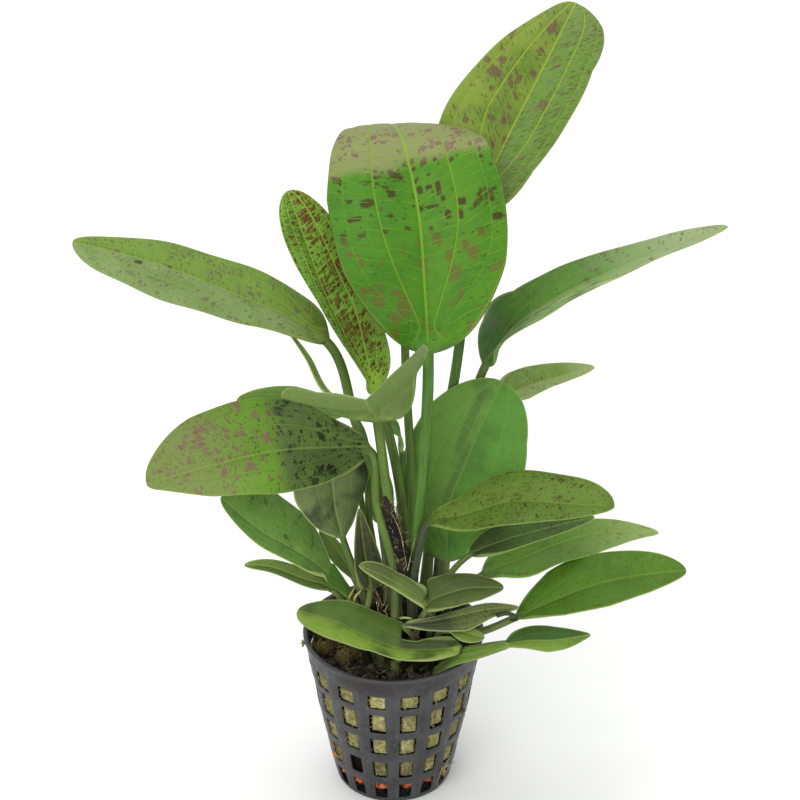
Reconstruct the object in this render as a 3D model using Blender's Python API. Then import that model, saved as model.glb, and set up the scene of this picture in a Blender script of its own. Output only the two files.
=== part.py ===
"""Green ozelot sword plant: a rosette of spotted leaves in a small net pot.

Sizes are in millimetres and are turned into metres where a mesh is made.
The pot stands on the ground with its axis on Z. The plant is seen from -Y.
"""
import math

import bpy
import numpy as np

MM = 0.001

# Net pot
POT_HEIGHT = 52.0
RIM_RADIUS = 27.5
WALL = 1.1
FLOOR = 1.4
LIP_HEIGHT = 1.2
LIP_DEPTH = 0.5
HOLE_COLUMNS = 16
# Each row of holes: lower edge, upper edge, width
HOLE_ROWS = (
    (1.8, 8.0, 3.9),
    (10.9, 17.5, 4.3),
    (20.8, 27.3, 4.8),
    (29.9, 37.1, 5.0),
    (39.9, 45.3, 5.6),
)
# Outer radius of the pot at a few heights
POT_PROFILE = (
    (0.0, 17.3),
    (5.0, 18.7),
    (14.5, 20.5),
    (27.0, 23.1),
    (37.0, 24.5),
    (42.0, 25.7),
    (47.0, 26.3),
    (50.8, 27.0),
    (52.0, 27.5),
)

# Slots in the floor of the pot
SLOT_INNER = 6.5
SLOT_OUTER = 12.5

# Layers of the filling, with the air left between touching pieces
GAP = 0.3
CLAY_TOP = 8.0
WOOL_TOP = 44.4
SOIL_TOP = 45.5
FILLING_SIDES = 32

# Low dome that the leaves grow from
CROWN_CENTRE = (4.0, -1.0)
CROWN_RADIUS = 12.0
CROWN_TOP = 47.8
CROWN_DROP = 1.4
CROWN_RINGS = 3

# Leaf solids
FOOT_CLEARANCE = 0.9
RIB_THICKNESS = 1.3
BLADE_THICKNESS = 0.7
RIB_TAPER = 0.75
RING = 8
SHAPE_KNOTS = (0.06, 0.25, 0.5, 0.75, 0.94)
LONG_BLADE = 50.0
LONG_SECTIONS = (5, 11)
SHORT_SECTIONS = (4, 7)

# Every leaf: the foot of its stalk on the crown, the stalk's route, the midrib's route from
# the blade's base to its tip, the direction across the blade to its left, the fold of each
# half in degrees, the breadth of each half at five stations, and the stalk's radii.
LEAVES = {
    "leaf_top_right": {
        "foot": (8.6, 4.6),
        "stalk": ((12.1, 16, 86.3), (19.3, 18, 139.4)),
        "rib": ((23, 22, 181), (32, 38, 195), (43, 56, 210), (54, 74, 225)),
        "across": (-0.9, 0.15, 0.22),
        "fold": (5, 8),
        "left": (23, 22.5, 19, 15.5, 12),
        "right": (15, 13, 14, 15.8, 22),
        "radius": (1.7, 1.4),
    },
    "leaf_centre": {
        "foot": (5.3, -3.0),
        "stalk": ((5.8, -4, 76), (9.2, -6, 120)),
        "rib": ((10, -5, 150), (9, 2, 167), (7, 12, 188), (3, 24, 202), (0, 40, 201), (-2, 56, 188)),
        "across": (-1.0, 0.0, 0.05),
        "fold": (8, 8),
        "tip_fold": (-16, -5),
        "left": (23.3, 26.3, 25, 19, 15),
        "right": (26.5, 27, 24, 22.5, 22),
        "radius": (1.9, 1.6),
    },
    "leaf_narrow_spotted": {
        "foot": (2.2, 1.0),
        "stalk": ((3, 2.5, 90), (-0.3, 1.5, 115)),
        "rib": ((-5, 0, 134), (-13, 4, 149), (-21, 9, 166), (-26, 13, 180), (-30, 16, 191)),
        "across": (-0.75, -0.6, 0.0),
        "fold": (50, 5),
        "tip_fold": (20, 5),
        "left": (8, 6, 7.5, 11.5, 15.5),
        "right": (16, 15, 13.6, 13, 13),
        "radius": (1.6, 1.4),
    },
    "leaf_far_left": {
        "foot": (-1.0, -0.5),
        "stalk": ((-1.6, -1.5, 82), (-4.2, -1.5, 102), (-11, 0, 125)),
        "rib": ((-19, 2, 150), (-31, 5, 157), (-47, 8, 163), (-65, 10, 170), (-91, 10, 178)),
        "across": (-0.15, -0.95, -0.3),
        "fold": (5, 5),
        "left": (11, 10.8, 13.3, 15.0, 15.5),
        "right": (15, 12.5, 10.7, 8.7, 7.5),
        "radius": (1.7, 1.4),
    },
    "leaf_right_long": {
        "foot": (12.4, 7.4),
        "stalk": ((15, 15, 78.4), (22.2, 15.5, 114.5)),
        "rib": ((27.2, 16, 134.7), (34, 17, 145.4), (48, 22, 154), (62, 27, 159), (77, 31, 164), (98, 34, 171)),
        "across": (-0.2, 0.8, 0.45),
        "fold": (-8, 42),
        "left": (25, 10.5, 8.9, 6.5, 6),
        "right": (11, 11.8, 8.6, 8.0, 8.5),
        "radius": (1.6, 1.3),
    },
    "leaf_right_small": {
        "foot": (9.0, 8.8),
        "stalk": ((13, 17.5, 76), (24, 30, 99)),
        "rib": ((33.4, 36.4, 112), (41.5, 42.4, 113), (51.6, 48.4, 113), (62, 52.4, 114)),
        "across": (-0.2, 0.9, 0.2),
        "fold": (8, 8),
        "left": (10, 8.5, 6.7, 5.5, 4.4),
        "right": (9, 6, 4.0, 3.5, 3.5),
        "radius": (1.1, 0.9),
    },
    "leaf_standing": {
        "foot": (12.0, 4.0),
        "stalk": ((14.5, 5.5, 60),),
        "rib": ((15.9, 7.6, 71.9), (17.8, 8.6, 95.2), (20.6, 9.2, 102.5), (25.4, 9.6, 116.5), (32, 11, 131.9)),
        "across": (-0.95, 0.2, 0.15),
        "fold": (-8, -8),
        "left": (20, 18.7, 18.6, 18.7, 17),
        "right": (15, 17.9, 18.1, 17.0, 18),
        "radius": (1.4, 1.3),
    },
    "leaf_spotted_left": {
        "foot": (0.3, -7.6),
        "stalk": ((0, -8.3, 80), (-5, -8.5, 103)),
        "rib": ((-7, -8, 120), (-18, -12, 123), (-35, -16, 124), (-51, -20, 122), (-70, -24, 118)),
        "across": (-0.1, -0.85, -0.5),
        "fold": (8, 8),
        "left": (12, 14.8, 14.7, 12, 8),
        "right": (10, 15.5, 17.1, 18.5, 17),
        "radius": (1.4, 1.2),
    },
    "leaf_toward_left": {
        "foot": (1.8, -3.8),
        "stalk": ((0.9, -5, 82), (-1.7, -8, 105)),
        "rib": ((-4.6, -12, 132.6), (-6, -35, 149), (-7, -60, 166)),
        "across": (0.93, -0.1, 0.1),
        "fold": (44, 4),
        "tip_fold": (44, 9),
        "left": (30, 25, 22, 25, 32),
        "right": (34, 27, 25, 26.5, 33),
        "radius": (1.6, 1.4),
    },
    "leaf_right_spotted": {
        "foot": (6.8, -7.3),
        "stalk": ((6, -8.6, 75), (7.8, -8.3, 87)),
        "rib": ((10, -8, 95), (20, -8.5, 98), (35, -9, 103), (50, -12, 104), (64, -15, 105)),
        "across": (0.1, 0.9, 0.35),
        "fold": (6, 6),
        "left": (7, 9.9, 10.6, 11.4, 12),
        "right": (7, 9.4, 9.1, 7.5, 6.0),
        "radius": (1.5, 1.2),
    },
    "leaf_right_shaded": {
        "foot": (11.0, -3.5),
        "stalk": ((13, -2.6, 66),),
        "rib": ((23, 0, 79), (34, 2, 83), (47, 4, 86), (60, 5, 89)),
        "across": (0.2, 0.9, 0.35),
        "fold": (5, 5),
        "left": (9, 7.0, 6.0, 5.5, 4),
        "right": (7, 5.5, 4.5, 4, 3.5),
        "radius": (1.2, 0.9),
    },
    "leaf_right_pale": {
        "foot": (12.5, 0.0),
        "stalk": ((18, 3, 60),),
        "rib": ((27, 6, 68), (39, 10, 71), (53, 14, 75), (64, 17, 76), (81, 20, 74)),
        "across": (0.2, 0.9, 0.3),
        "fold": (14, 14),
        "left": (9, 7, 6, 5, 4),
        "right": (10, 12.0, 10.2, 7.8, 4),
        "radius": (1.2, 1.0),
    },
    "leaf_right_low": {
        "foot": (11.5, -7.0),
        "stalk": ((19, -9, 55), (28, -9, 58)),
        "rib": ((37, -8, 62), (47, -6, 66), (63, -3, 71), (77, 0, 72), (88, 2, 72)),
        "across": (0.1, 0.9, 0.35),
        "fold": (5, 5),
        "left": (9.5, 12, 10.7, 10, 9.5),
        "right": (6, 8.6, 9.3, 8.2, 6.5),
        "radius": (1.3, 1.1),
    },
    "leaf_right_lowest": {
        "foot": (13.0, -14.5),
        "stalk": ((18.5, -18, 53.8), (25.7, -20, 57.6)),
        "rib": ((33, -20, 60), (39, -21, 62), (48, -22, 63), (58, -22, 65)),
        "across": (0.1, 0.9, 0.25),
        "fold": (10, 10),
        "left": (7, 6.0, 5.2, 4.2, 3),
        "right": (3, 3.8, 5.2, 4.6, 3.3),
        "radius": (1.2, 1.2),
    },
    "leaf_front_left": {
        "foot": (7.0, -11.6),
        "stalk": ((12.5, -14.6, 52.4),),
        "rib": (
            (19.5, -17.5, 57.6),
            (10.9, -18.5, 57.2),
            (2, -18, 57.4),
            (-6.9, -17, 60.4),
            (-15.8, -15, 64.4),
            (-28.5, -10, 65.6),
        ),
        "across": (-0.1, -0.9, -0.3),
        "fold": (12, 12),
        "left": (7.5, 5.8, 5.2, 9.4, 10),
        "right": (8, 3.4, 9.2, 8.8, 8),
        "radius": (1.2, 1.0),
    },
    "leaf_front_shoot": {
        "foot": (0.8, -11.6),
        "stalk": ((1.4, -13.0, 49.7),),
        "rib": ((1.8, -14.4, 51.4), (2.1, -15.3, 52.5), (2.3, -16, 53.6)),
        "across": (0.9, -0.3, 0.0),
        "fold": (10, 10),
        "left": (1.9, 1.7, 1.5, 1.2, 0.9),
        "right": (1.9, 1.7, 1.5, 1.2, 0.9),
        "radius": (1.2, 1.1),
    },
    "leaf_left_back": {
        "foot": (-6.0, -5.0),
        "stalk": ((-10.5, -5.5, 64),),
        "rib": ((-19, -5, 75), (-28, -8, 85), (-38, -10, 93), (-50, -12, 106)),
        "across": (-0.1, -0.9, -0.35),
        "fold": (6, 6),
        "left": (6, 6.2, 5.8, 6, 7),
        "right": (12, 13.2, 14.8, 16, 16),
        "radius": (1.2, 1.0),
    },
    "leaf_left_low": {
        "foot": (-7.8, -8.6),
        "stalk": ((-12, -6.6, 61),),
        "rib": ((-18, -5, 69.5), (-28, -8, 76), (-37, -9, 80.5), (-44, -9, 81)),
        "across": (-0.1, -0.9, -0.3),
        "fold": (25, 25),
        "left": (4.5, 4.9, 4.4, 4.0, 4.0),
        "right": (3.6, 3.4, 3.2, 2.8, 2.8),
        "radius": (1.0, 0.9),
    },
    "leaf_mid_left": {
        "foot": (4.4, -10.2),
        "stalk": ((7.9, -11.2, 62.5),),
        "rib": ((9.5, -15.5, 71), (1, -16, 79), (-10, -17, 86)),
        "across": (-0.1, -0.9, -0.2),
        "fold": (12, 12),
        "left": (4.5, 4.4, 3.6, 3.4, 3.2),
        "right": (12, 4.8, 3.9, 4.6, 4.6),
        "radius": (1.0, 0.9),
    },
    "leaf_mid_right": {
        "foot": (9.8, -8.8),
        "stalk": ((11, -9.6, 62),),
        "rib": ((11.3, -13.4, 70.9), (20, -14, 75.6), (32.5, -15, 77)),
        "across": (0.1, 0.9, 0.25),
        "fold": (8, 8),
        "left": (14, 8, 6.0, 5.0, 4.3),
        "right": (9, 7, 7.0, 6.6, 4.6),
        "radius": (1.0, 0.9),
    },
    "leaf_low_mottled": {
        "foot": (3.2, -11.9),
        "stalk": ((6.0, -12.9, 58.2),),
        "rib": ((3.2, -15.5, 63.8), (12, -14.5, 65), (20, -13, 65.9), (28, -10.5, 66.2), (37.5, -9, 66)),
        "across": (0.1, 0.85, 0.4),
        "fold": (8, 0),
        "left": (2, 1.4, 2.0, 2.5, 2.3),
        "right": (3, 4.2, 5.8, 3.4, 2.2),
        "radius": (0.9, 0.8),
    },
    "leaf_small_curled": {
        "foot": (3.5, 9.0),
        "stalk": ((1.6, 11.6, 84),),
        "rib": ((2.4, 9.6, 109), (1.0, 8.4, 117.4), (-4, 7, 120.5)),
        "across": (0.2, -0.8, -0.5),
        "fold": (5, 5),
        "left": (2.5, 3.2, 3.3, 3.0, 3.0),
        "right": (2.5, 3.4, 3.6, 3.0, 2.8),
        "radius": (1.0, 0.8),
    },
    "leaf_rim_young": {
        "foot": (12.0, -10.8),
        "stalk": ((14, -12, 59.3),),
        "rib": ((17, -14.6, 61.4), (21.5, -16.5, 62), (27, -18.5, 61.6)),
        "across": (0.0, 0.9, 0.3),
        "fold": (5, 5),
        "left": (2.6, 2.2, 2.2, 2.2, 2.0),
        "right": (2, 3, 3.7, 3.8, 3.5),
        "radius": (0.9, 0.8),
    },
    "leaf_left_tucked": {
        "foot": (-2.5, 5.5),
        "stalk": ((-7, 7, 85),),
        "rib": ((-14, 10, 122), (-27, 11, 124), (-37, 12, 125), (-46, 12, 125)),
        "across": (0.1, -0.85, -0.45),
        "fold": (5, 5),
        "left": (6.5, 5.5, 5, 4.5, 4),
        "right": (5, 5.5, 5.8, 5.0, 4.7),
        "radius": (1.1, 0.9),
    },
    "leaf_left_shadow": {
        "foot": (-5.5, -1.5),
        "stalk": ((-9, -2.5, 66),),
        "rib": ((-15, -3, 87), (-17, -3, 96), (-18, -3, 107), (-21, -3, 121)),
        "across": (-0.8, -0.5, 0.0),
        "fold": (10, 10),
        "left": (7, 10, 13.5, 16, 16),
        "right": (7.5, 9, 11.2, 13.0, 14),
        "radius": (1.2, 1.0),
    },
    "leaf_left_dark": {
        "foot": (-3.5, -8.5),
        "stalk": ((-8, -7.5, 62),),
        "rib": ((-6.8, -7.8, 71.5), (-8.4, -8, 84), (-10, -8, 100)),
        "across": (-0.9, -0.3, 0.0),
        "fold": (18, 18),
        "left": (7.5, 5, 3.7, 2.8, 2.2),
        "right": (8.5, 5.5, 4.2, 2.9, 2.2),
        "radius": (1.0, 0.9),
    },
    "leaf_behind_left": {
        "foot": (0.5, 5.5),
        "stalk": ((-2, 10, 66),),
        "rib": ((-4, 14, 81), (-5, 15, 91), (-7, 16, 103)),
        "across": (-0.95, 0.2, 0.0),
        "fold": (5, 5),
        "left": (4.5, 4.0, 3.7, 3.6, 3.7),
        "right": (5.0, 5.1, 5.6, 5.8, 6),
        "radius": (1.0, 0.9),
    },
    "leaf_behind_low": {
        "foot": (-6.5, 2.5),
        "stalk": ((-9, 4, 60),),
        "rib": ((-12, 5, 67), (-15, 6, 73), (-22, 7, 84)),
        "across": (-0.5, -0.7, -0.3),
        "fold": (10, 10),
        "left": (2.5, 3.6, 4.2, 4.2, 4.0),
        "right": (1.9, 2.3, 2.4, 2.2, 2.0),
        "radius": (0.9, 0.8),
    },
    "leaf_behind_centre": {
        "foot": (4.9, 4.6),
        "stalk": ((5.7, 9, 90), (3.6, 17, 135)),
        "rib": ((3, 22, 158), (2, 27, 172), (1, 35, 187)),
        "across": (-1.0, 0.1, 0.0),
        "fold": (6, 6),
        "left": (8, 9, 9.5, 9, 8),
        "right": (8, 9, 9.5, 9, 8),
        "radius": (1.5, 1.2),
    },
    "leaf_spear": {
        "foot": (-5.5, 6.0),
        "stalk": ((-9.5, 5, 95),),
        "rib": ((-15, 3, 129), (-20, 4, 133), (-25, 5, 143), (-32.5, 6, 155)),
        "across": (-0.5, -0.8, 0.2),
        "fold": (30, 30),
        "left": (1.4, 1.6, 1.4, 1.0, 0.7),
        "right": (1.4, 1.6, 1.4, 1.0, 0.7),
        "radius": (1.0, 0.8),
    },
}


def clear_scene():
    for obj in list(bpy.data.objects):
        bpy.data.objects.remove(obj, do_unlink=True)


def principled(name, colour, roughness):
    """A material with one colour and roughness."""
    material = bpy.data.materials.new(name)
    material.use_nodes = True
    shader = material.node_tree.nodes["Principled BSDF"]
    shader.inputs["Base Color"].default_value = (*colour, 1.0)
    shader.inputs["Roughness"].default_value = roughness
    shader.inputs["Metallic"].default_value = 0.0
    material.diffuse_color = (*colour, 1.0)
    return material


def add_mesh(name, points, faces, material, sharp_angle):
    """A smooth-shaded object from points in millimetres."""
    mesh = bpy.data.meshes.new(name)
    mesh.from_pydata([tuple(float(c) * MM for c in point) for point in points], [], faces)
    mesh.materials.append(material)
    mesh.validate()
    mesh.shade_smooth()
    mesh.set_sharp_from_angle(angle=math.radians(sharp_angle))
    obj = bpy.data.objects.new(name, mesh)
    bpy.context.scene.collection.objects.link(obj)
    return obj


def smooth_route(points, stations):
    """Points and directions on a smooth curve through the points, at stations from 0 to 1."""
    points = np.array(points, dtype=float)
    steps = np.linalg.norm(np.diff(points, axis=0), axis=1)
    knots = np.concatenate(([0.0], np.cumsum(steps))) / steps.sum()
    chords = np.diff(points, axis=0) / np.diff(knots)[:, None]
    slopes = np.vstack((chords[:1], chords[:-1], chords[-1:]))[: len(points)]
    for i in range(1, len(points) - 1):
        weight = (knots[i + 1] - knots[i]) / (knots[i + 1] - knots[i - 1])
        slopes[i] = chords[i - 1] * weight + chords[i] * (1 - weight)
    slopes[-1] = chords[-1]
    places = []
    directions = []
    for t in stations:
        i = min(max(int(np.searchsorted(knots, t)) - 1, 0), len(points) - 2)
        h = knots[i + 1] - knots[i]
        s = (t - knots[i]) / h
        places.append(
            (2 * s**3 - 3 * s**2 + 1) * points[i]
            + (s**3 - 2 * s**2 + s) * h * slopes[i]
            + (3 * s**2 - 2 * s**3) * points[i + 1]
            + (s**3 - s**2) * h * slopes[i + 1]
        )
        direction = (
            (6 * s**2 - 6 * s) / h * (points[i] - points[i + 1])
            + (3 * s**2 - 4 * s + 1) * slopes[i]
            + (3 * s**2 - 2 * s) * slopes[i + 1]
        )
        directions.append(direction / np.linalg.norm(direction))
    return places, directions


def half_width(shape, t):
    """Width of one half of a blade at t, round at both ends."""
    return np.interp(t, SHAPE_KNOTS, shape) * 2 * math.sqrt(t * (1 - t))


def side_and_up(direction, across):
    """Unit vectors to the left and up from a direction of growth."""
    left = np.array(across, dtype=float)
    left -= direction * left.dot(direction)
    left /= np.linalg.norm(left)
    return left, np.cross(direction, left)


def ground_height(x, y):
    """Height of the crown, or of the soil beside it."""
    reach = math.hypot(x - CROWN_CENTRE[0], y - CROWN_CENTRE[1]) / CROWN_RADIUS
    if reach > 1:
        return SOIL_TOP
    return CROWN_TOP - CROWN_DROP * reach**2


def stalk_ring(place, left, up, radius):
    """A round section of a stalk, starting at its left."""
    ring = []
    for k in range(RING):
        angle = 2 * math.pi * k / RING
        ring.append(place + radius * (math.cos(angle) * left + math.sin(angle) * up))
    return ring


def blade_ring(place, left, up, widths, folds, radius):
    """A thin section of a blade with its rib below the middle, starting at its left edge."""
    left_fold, right_fold = (math.radians(fold) for fold in folds)
    left_edge = widths[0] * (math.cos(left_fold) * left + math.sin(left_fold) * up)
    right_edge = widths[1] * (math.sin(right_fold) * up - math.cos(right_fold) * left)
    skin = min(BLADE_THICKNESS / 2, radius) * up
    rib = min(RIB_THICKNESS, radius) * up
    return [
        place + left_edge,
        place + left_edge / 2 + skin,
        place + skin,
        place + right_edge / 2 + skin,
        place + right_edge,
        place + right_edge / 2 - skin,
        place - rib,
        place + left_edge / 2 - skin,
    ]


def folds_at(form, t):
    """The folds of both halves at t along the blade."""
    tip_folds = form.get("tip_fold", form["fold"])
    return [base + (tip - base) * t for base, tip in zip(form["fold"], tip_folds)]


def leaf_sections(form):
    """The sections of a leaf from its foot to just before its tip, and the tip."""
    foot = (*form["foot"], ground_height(*form["foot"]) + FOOT_CLEARANCE)
    route = np.array((foot, *form["stalk"], *form["rib"]), dtype=float)
    steps = np.linalg.norm(np.diff(route, axis=0), axis=1)
    blade_length = steps[len(form["stalk"]) + 1 :].sum()
    blade_start = 1 - blade_length / steps.sum()
    stalk_count, blade_count = LONG_SECTIONS if blade_length > LONG_BLADE else SHORT_SECTIONS
    blade_steps = [(1 - math.cos(math.pi * k / blade_count)) / 2 for k in range(blade_count + 1)]
    stations = [blade_start * k / stalk_count for k in range(stalk_count)]
    stations += [blade_start + (1 - blade_start) * t for t in blade_steps]
    places, directions = smooth_route(route, stations)
    foot_radius, top_radius = form["radius"]
    sections = []
    for k, (place, direction) in enumerate(zip(places[:-1], directions[:-1])):
        left, up = side_and_up(direction, form["across"])
        if k <= stalk_count:
            radius = foot_radius + (top_radius - foot_radius) * k / stalk_count
            sections.append(stalk_ring(place, left, up, radius))
            continue
        t = blade_steps[k - stalk_count]
        radius = top_radius * (1 - RIB_TAPER * t)
        widths = [max(half_width(form[side], t), radius) for side in ("left", "right")]
        sections.append(blade_ring(place, left, up, widths, folds_at(form, t), radius))
    return sections, places[-1]


def add_leaf(name, form, material):
    """One leaf: stalk, rib and blade in a single closed skin."""
    sections, tip = leaf_sections(form)
    points = [point for ring in sections for point in ring] + [tip]
    faces = [tuple(reversed(range(RING)))]
    for row in range(len(sections) - 1):
        for k in range(RING):
            a = row * RING + k
            b = row * RING + (k + 1) % RING
            faces.append((a, b, b + RING, a + RING))
    last = (len(sections) - 1) * RING
    for k in range(RING):
        faces.append((last + k, last + (k + 1) % RING, len(points) - 1))
    return add_mesh(name, points, faces, material, 50)


def wall_radius(height):
    """Outer radius of the pot's wall at a height."""
    heights, radii = zip(*POT_PROFILE)
    return float(np.interp(height, heights, radii))


def hole_half_angle(height):
    """Half the angle that a column of holes takes at a height."""
    heights = [(low + high) / 2 for low, high, width in HOLE_ROWS]
    angles = [width / 2 / wall_radius((low + high) / 2) for low, high, width in HOLE_ROWS]
    return float(np.interp(height, heights, angles))


def pot_ring(radius, height):
    """Points round the pot, two for each column of holes, with a rib towards -Y."""
    ring = []
    half = hole_half_angle(height)
    for column in range(HOLE_COLUMNS):
        middle = 2 * math.pi * (column + 0.5) / HOLE_COLUMNS - math.pi / 2
        for angle in (middle - half, middle + half):
            ring.append((radius * math.cos(angle), radius * math.sin(angle), height))
    return ring


def pot_rings():
    """Rings from the middle of the floor's underside, over the rim, to the floor's middle.

    Each ring comes with the number of the hole row that starts at it, or None.
    """
    row_edges = [edge for low, high, width in HOLE_ROWS for edge in (low, high)]
    lip_base = POT_HEIGHT - LIP_HEIGHT
    outer = [(pot_ring(SLOT_INNER, 0), None), (pot_ring(SLOT_OUTER, 0), None)]
    outer.append((pot_ring(wall_radius(0), 0), None))
    for edge in row_edges:
        outer.append((pot_ring(wall_radius(edge), edge), edge))
    outer.append((pot_ring(wall_radius(lip_base), lip_base), None))
    outer.append((pot_ring(RIM_RADIUS, lip_base + LIP_DEPTH), None))
    outer.append((pot_ring(RIM_RADIUS, POT_HEIGHT), None))
    inner = [(pot_ring(SLOT_INNER, FLOOR), None), (pot_ring(SLOT_OUTER, FLOOR), None)]
    inner.append((pot_ring(wall_radius(FLOOR) - WALL, FLOOR), None))
    for edge in row_edges:
        inner.append((pot_ring(wall_radius(edge) - WALL, edge), edge))
    inner.append((pot_ring(RIM_RADIUS - WALL - LIP_DEPTH, POT_HEIGHT), None))
    return outer, inner


def add_pot(material):
    """The net pot: a tapered wall with rows of square holes and a slotted floor."""
    outer, inner = pot_rings()
    count = 2 * HOLE_COLUMNS
    hole_starts = {low for low, high, width in HOLE_ROWS}
    points = [point for ring, start in outer + inner for point in ring]
    outer_start = 0
    inner_start = len(outer) * count
    faces = [
        tuple(reversed(range(outer_start, outer_start + count))),
        tuple(range(inner_start, inner_start + count)),
    ]

    def is_open(ring_number, edge, side):
        if side % 2:
            return False
        if ring_number == 0:
            return side % 4 == 0
        return edge in hole_starts

    for start, rings, outward in ((outer_start, outer, True), (inner_start, inner, False)):
        for row in range(len(rings) - 1):
            for side in range(count):
                if is_open(row, rings[row][1], side):
                    continue
                a = start + row * count + side
                b = start + row * count + (side + 1) % count
                quad = (a, b, b + count, a + count)
                faces.append(quad if outward else tuple(reversed(quad)))
    for row in range(len(outer) - 1):
        for side in range(count):
            if not is_open(row, outer[row][1], side):
                continue
            shift = inner_start - outer_start
            a = row * count + side
            corners = (a, a + 1, a + 1 + count, a + count)
            for k in range(4):
                one = corners[k]
                two = corners[(k + 1) % 4]
                faces.append((one, two, two + shift, one + shift))
    top_outer = (len(outer) - 1) * count
    top_inner = inner_start + (len(inner) - 1) * count
    for side in range(count):
        after = (side + 1) % count
        faces.append((top_outer + side, top_outer + after, top_inner + after, top_inner + side))
    return add_mesh("net_pot", points, faces, material, 30)


def turned_solid(name, profile, centre, material):
    """A closed solid turned round a vertical axis from (radius, height) points, bottom first."""
    points = []
    for radius, height in profile:
        for k in range(FILLING_SIDES):
            angle = 2 * math.pi * k / FILLING_SIDES
            x = centre[0] + radius * math.cos(angle)
            y = centre[1] + radius * math.sin(angle)
            points.append((x, y, height))
    faces = [tuple(reversed(range(FILLING_SIDES)))]
    for row in range(len(profile) - 1):
        for k in range(FILLING_SIDES):
            a = row * FILLING_SIDES + k
            b = row * FILLING_SIDES + (k + 1) % FILLING_SIDES
            faces.append((a, b, b + FILLING_SIDES, a + FILLING_SIDES))
    faces.append(tuple(range(len(points) - FILLING_SIDES, len(points))))
    return add_mesh(name, points, faces, material, 40)


def filling_profile(bottom, top):
    """A layer that follows the taper of the pot's inside, clear of its flat facets."""
    facet_sag = 1 - math.cos(math.pi / HOLE_COLUMNS / 2)
    profile = []
    for height in (bottom, (bottom + top) / 2, top):
        inside = wall_radius(height) - WALL
        profile.append((inside * (1 - 2 * facet_sag) - GAP, height))
    return profile


def add_crown(material):
    """The low dome at the foot of the leaves."""
    profile = [(CROWN_RADIUS, SOIL_TOP + GAP)]
    for ring in range(CROWN_RINGS):
        reach = 1 - ring / CROWN_RINGS
        profile.append((CROWN_RADIUS * reach, CROWN_TOP - CROWN_DROP * reach**2))
    return turned_solid("crown", profile, CROWN_CENTRE, material)


def build():
    clear_scene()
    plastic = principled("pot_plastic", (0.055, 0.058, 0.062), 0.42)
    clay = principled("clay", (0.5, 0.14, 0.05), 0.9)
    wool = principled("mineral_wool", (0.42, 0.38, 0.16), 0.95)
    soil = principled("soil", (0.03, 0.024, 0.02), 0.95)
    flesh = principled("crown_flesh", (0.2, 0.3, 0.08), 0.6)
    leaf = principled("leaf_green", (0.12, 0.3, 0.05), 0.38)
    add_pot(plastic)
    turned_solid("clay_layer", filling_profile(FLOOR + GAP, CLAY_TOP), (0, 0), clay)
    turned_solid("mineral_wool", filling_profile(CLAY_TOP + GAP, WOOL_TOP), (0, 0), wool)
    turned_solid("soil", filling_profile(WOOL_TOP + GAP, SOIL_TOP), (0, 0), soil)
    add_crown(flesh)
    for name, form in LEAVES.items():
        add_leaf(name, form, leaf)


build()
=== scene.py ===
"""Looks for the potted sword plant: fine leaves, net pot, filling, floor, light and camera.

Sizes are in millimetres and are turned into metres where a mesh is made.
"""
import math
from collections import namedtuple

import bmesh
import bpy
import numpy as np
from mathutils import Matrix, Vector


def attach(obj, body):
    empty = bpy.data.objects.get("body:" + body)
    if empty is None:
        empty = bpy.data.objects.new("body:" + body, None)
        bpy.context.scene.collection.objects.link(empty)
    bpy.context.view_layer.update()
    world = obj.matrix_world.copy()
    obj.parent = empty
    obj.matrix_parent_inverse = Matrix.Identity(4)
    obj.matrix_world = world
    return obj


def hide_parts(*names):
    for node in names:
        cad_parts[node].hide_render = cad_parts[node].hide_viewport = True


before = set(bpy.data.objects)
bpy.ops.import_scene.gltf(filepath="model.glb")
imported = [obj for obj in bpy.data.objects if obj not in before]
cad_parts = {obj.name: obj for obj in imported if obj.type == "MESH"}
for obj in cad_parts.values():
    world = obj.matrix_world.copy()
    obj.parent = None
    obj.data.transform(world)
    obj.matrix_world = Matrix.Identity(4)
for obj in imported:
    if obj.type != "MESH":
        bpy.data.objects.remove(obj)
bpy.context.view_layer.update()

MM = 0.001

# Net pot
RIM_RADIUS = 27.5
RIM_HEIGHT = 52.0
WALL = 1.1
# The shell looks thinner than its ribs are deep
SHELL = 0.8
FLOOR = 1.4
SLOT_INNER = 6.5
SLOT_OUTER = 12.5
HOLE_COLUMNS = 16
COLUMN_ANGLE = 2 * math.pi / HOLE_COLUMNS
# Each row of holes: lower edge, upper edge, width
HOLE_ROWS = ((1.8, 8.0, 3.9), (10.9, 17.5, 4.3), (20.8, 27.3, 4.8), (29.9, 37.1, 5.0), (39.9, 45.3, 5.6))
# Outer radius of the pot at a few heights
PROFILE_HEIGHTS = (0.0, 5.0, 14.5, 27.0, 37.0, 42.0, 47.0, 50.8, RIM_HEIGHT)
PROFILE_RADII = (17.3, 18.7, 20.5, 23.1, 24.5, 25.7, 26.3, 27.0, RIM_RADIUS)
# Round the pot, the surface pattern is measured along an arc of this radius
ARC_RADIUS = 22.0
# Dried mud under the rim: its place round the pot and its reach
MUD_ARC = 96.0
MUD_REACH = 8.0

# Filling
CLAY_TOP = 8.0
WOOL_TOP = 44.4
SOIL_TOP = 45.5
CROWN_CENTRE = (4.0, -1.0)
CROWN_RADIUS = 12.0
CROWN_TOP = 47.8
CROWN_DROP = 1.4

# Leaf solids
FOOT_CLEARANCE = 0.9
FOOT_SINK = 2.6
RIB_TAPER = 0.75
SHAPE_KNOTS = (0.06, 0.25, 0.5, 0.75, 0.94)
STALK_STEP = 2.0
BLADE_STEP = 0.8
VEIN_DEPTH = 0.16
VEIN_GROOVE = 0.55
RIB_DEPTH = 0.28
RIB_GROOVE = 0.8
# Points stand this share of the half's width beside a vein
VEIN_COLUMN = 0.022
SKIN = 0.25
SHEATH_FLARE = 0.35
SHEATH_END = 0.22
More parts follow.
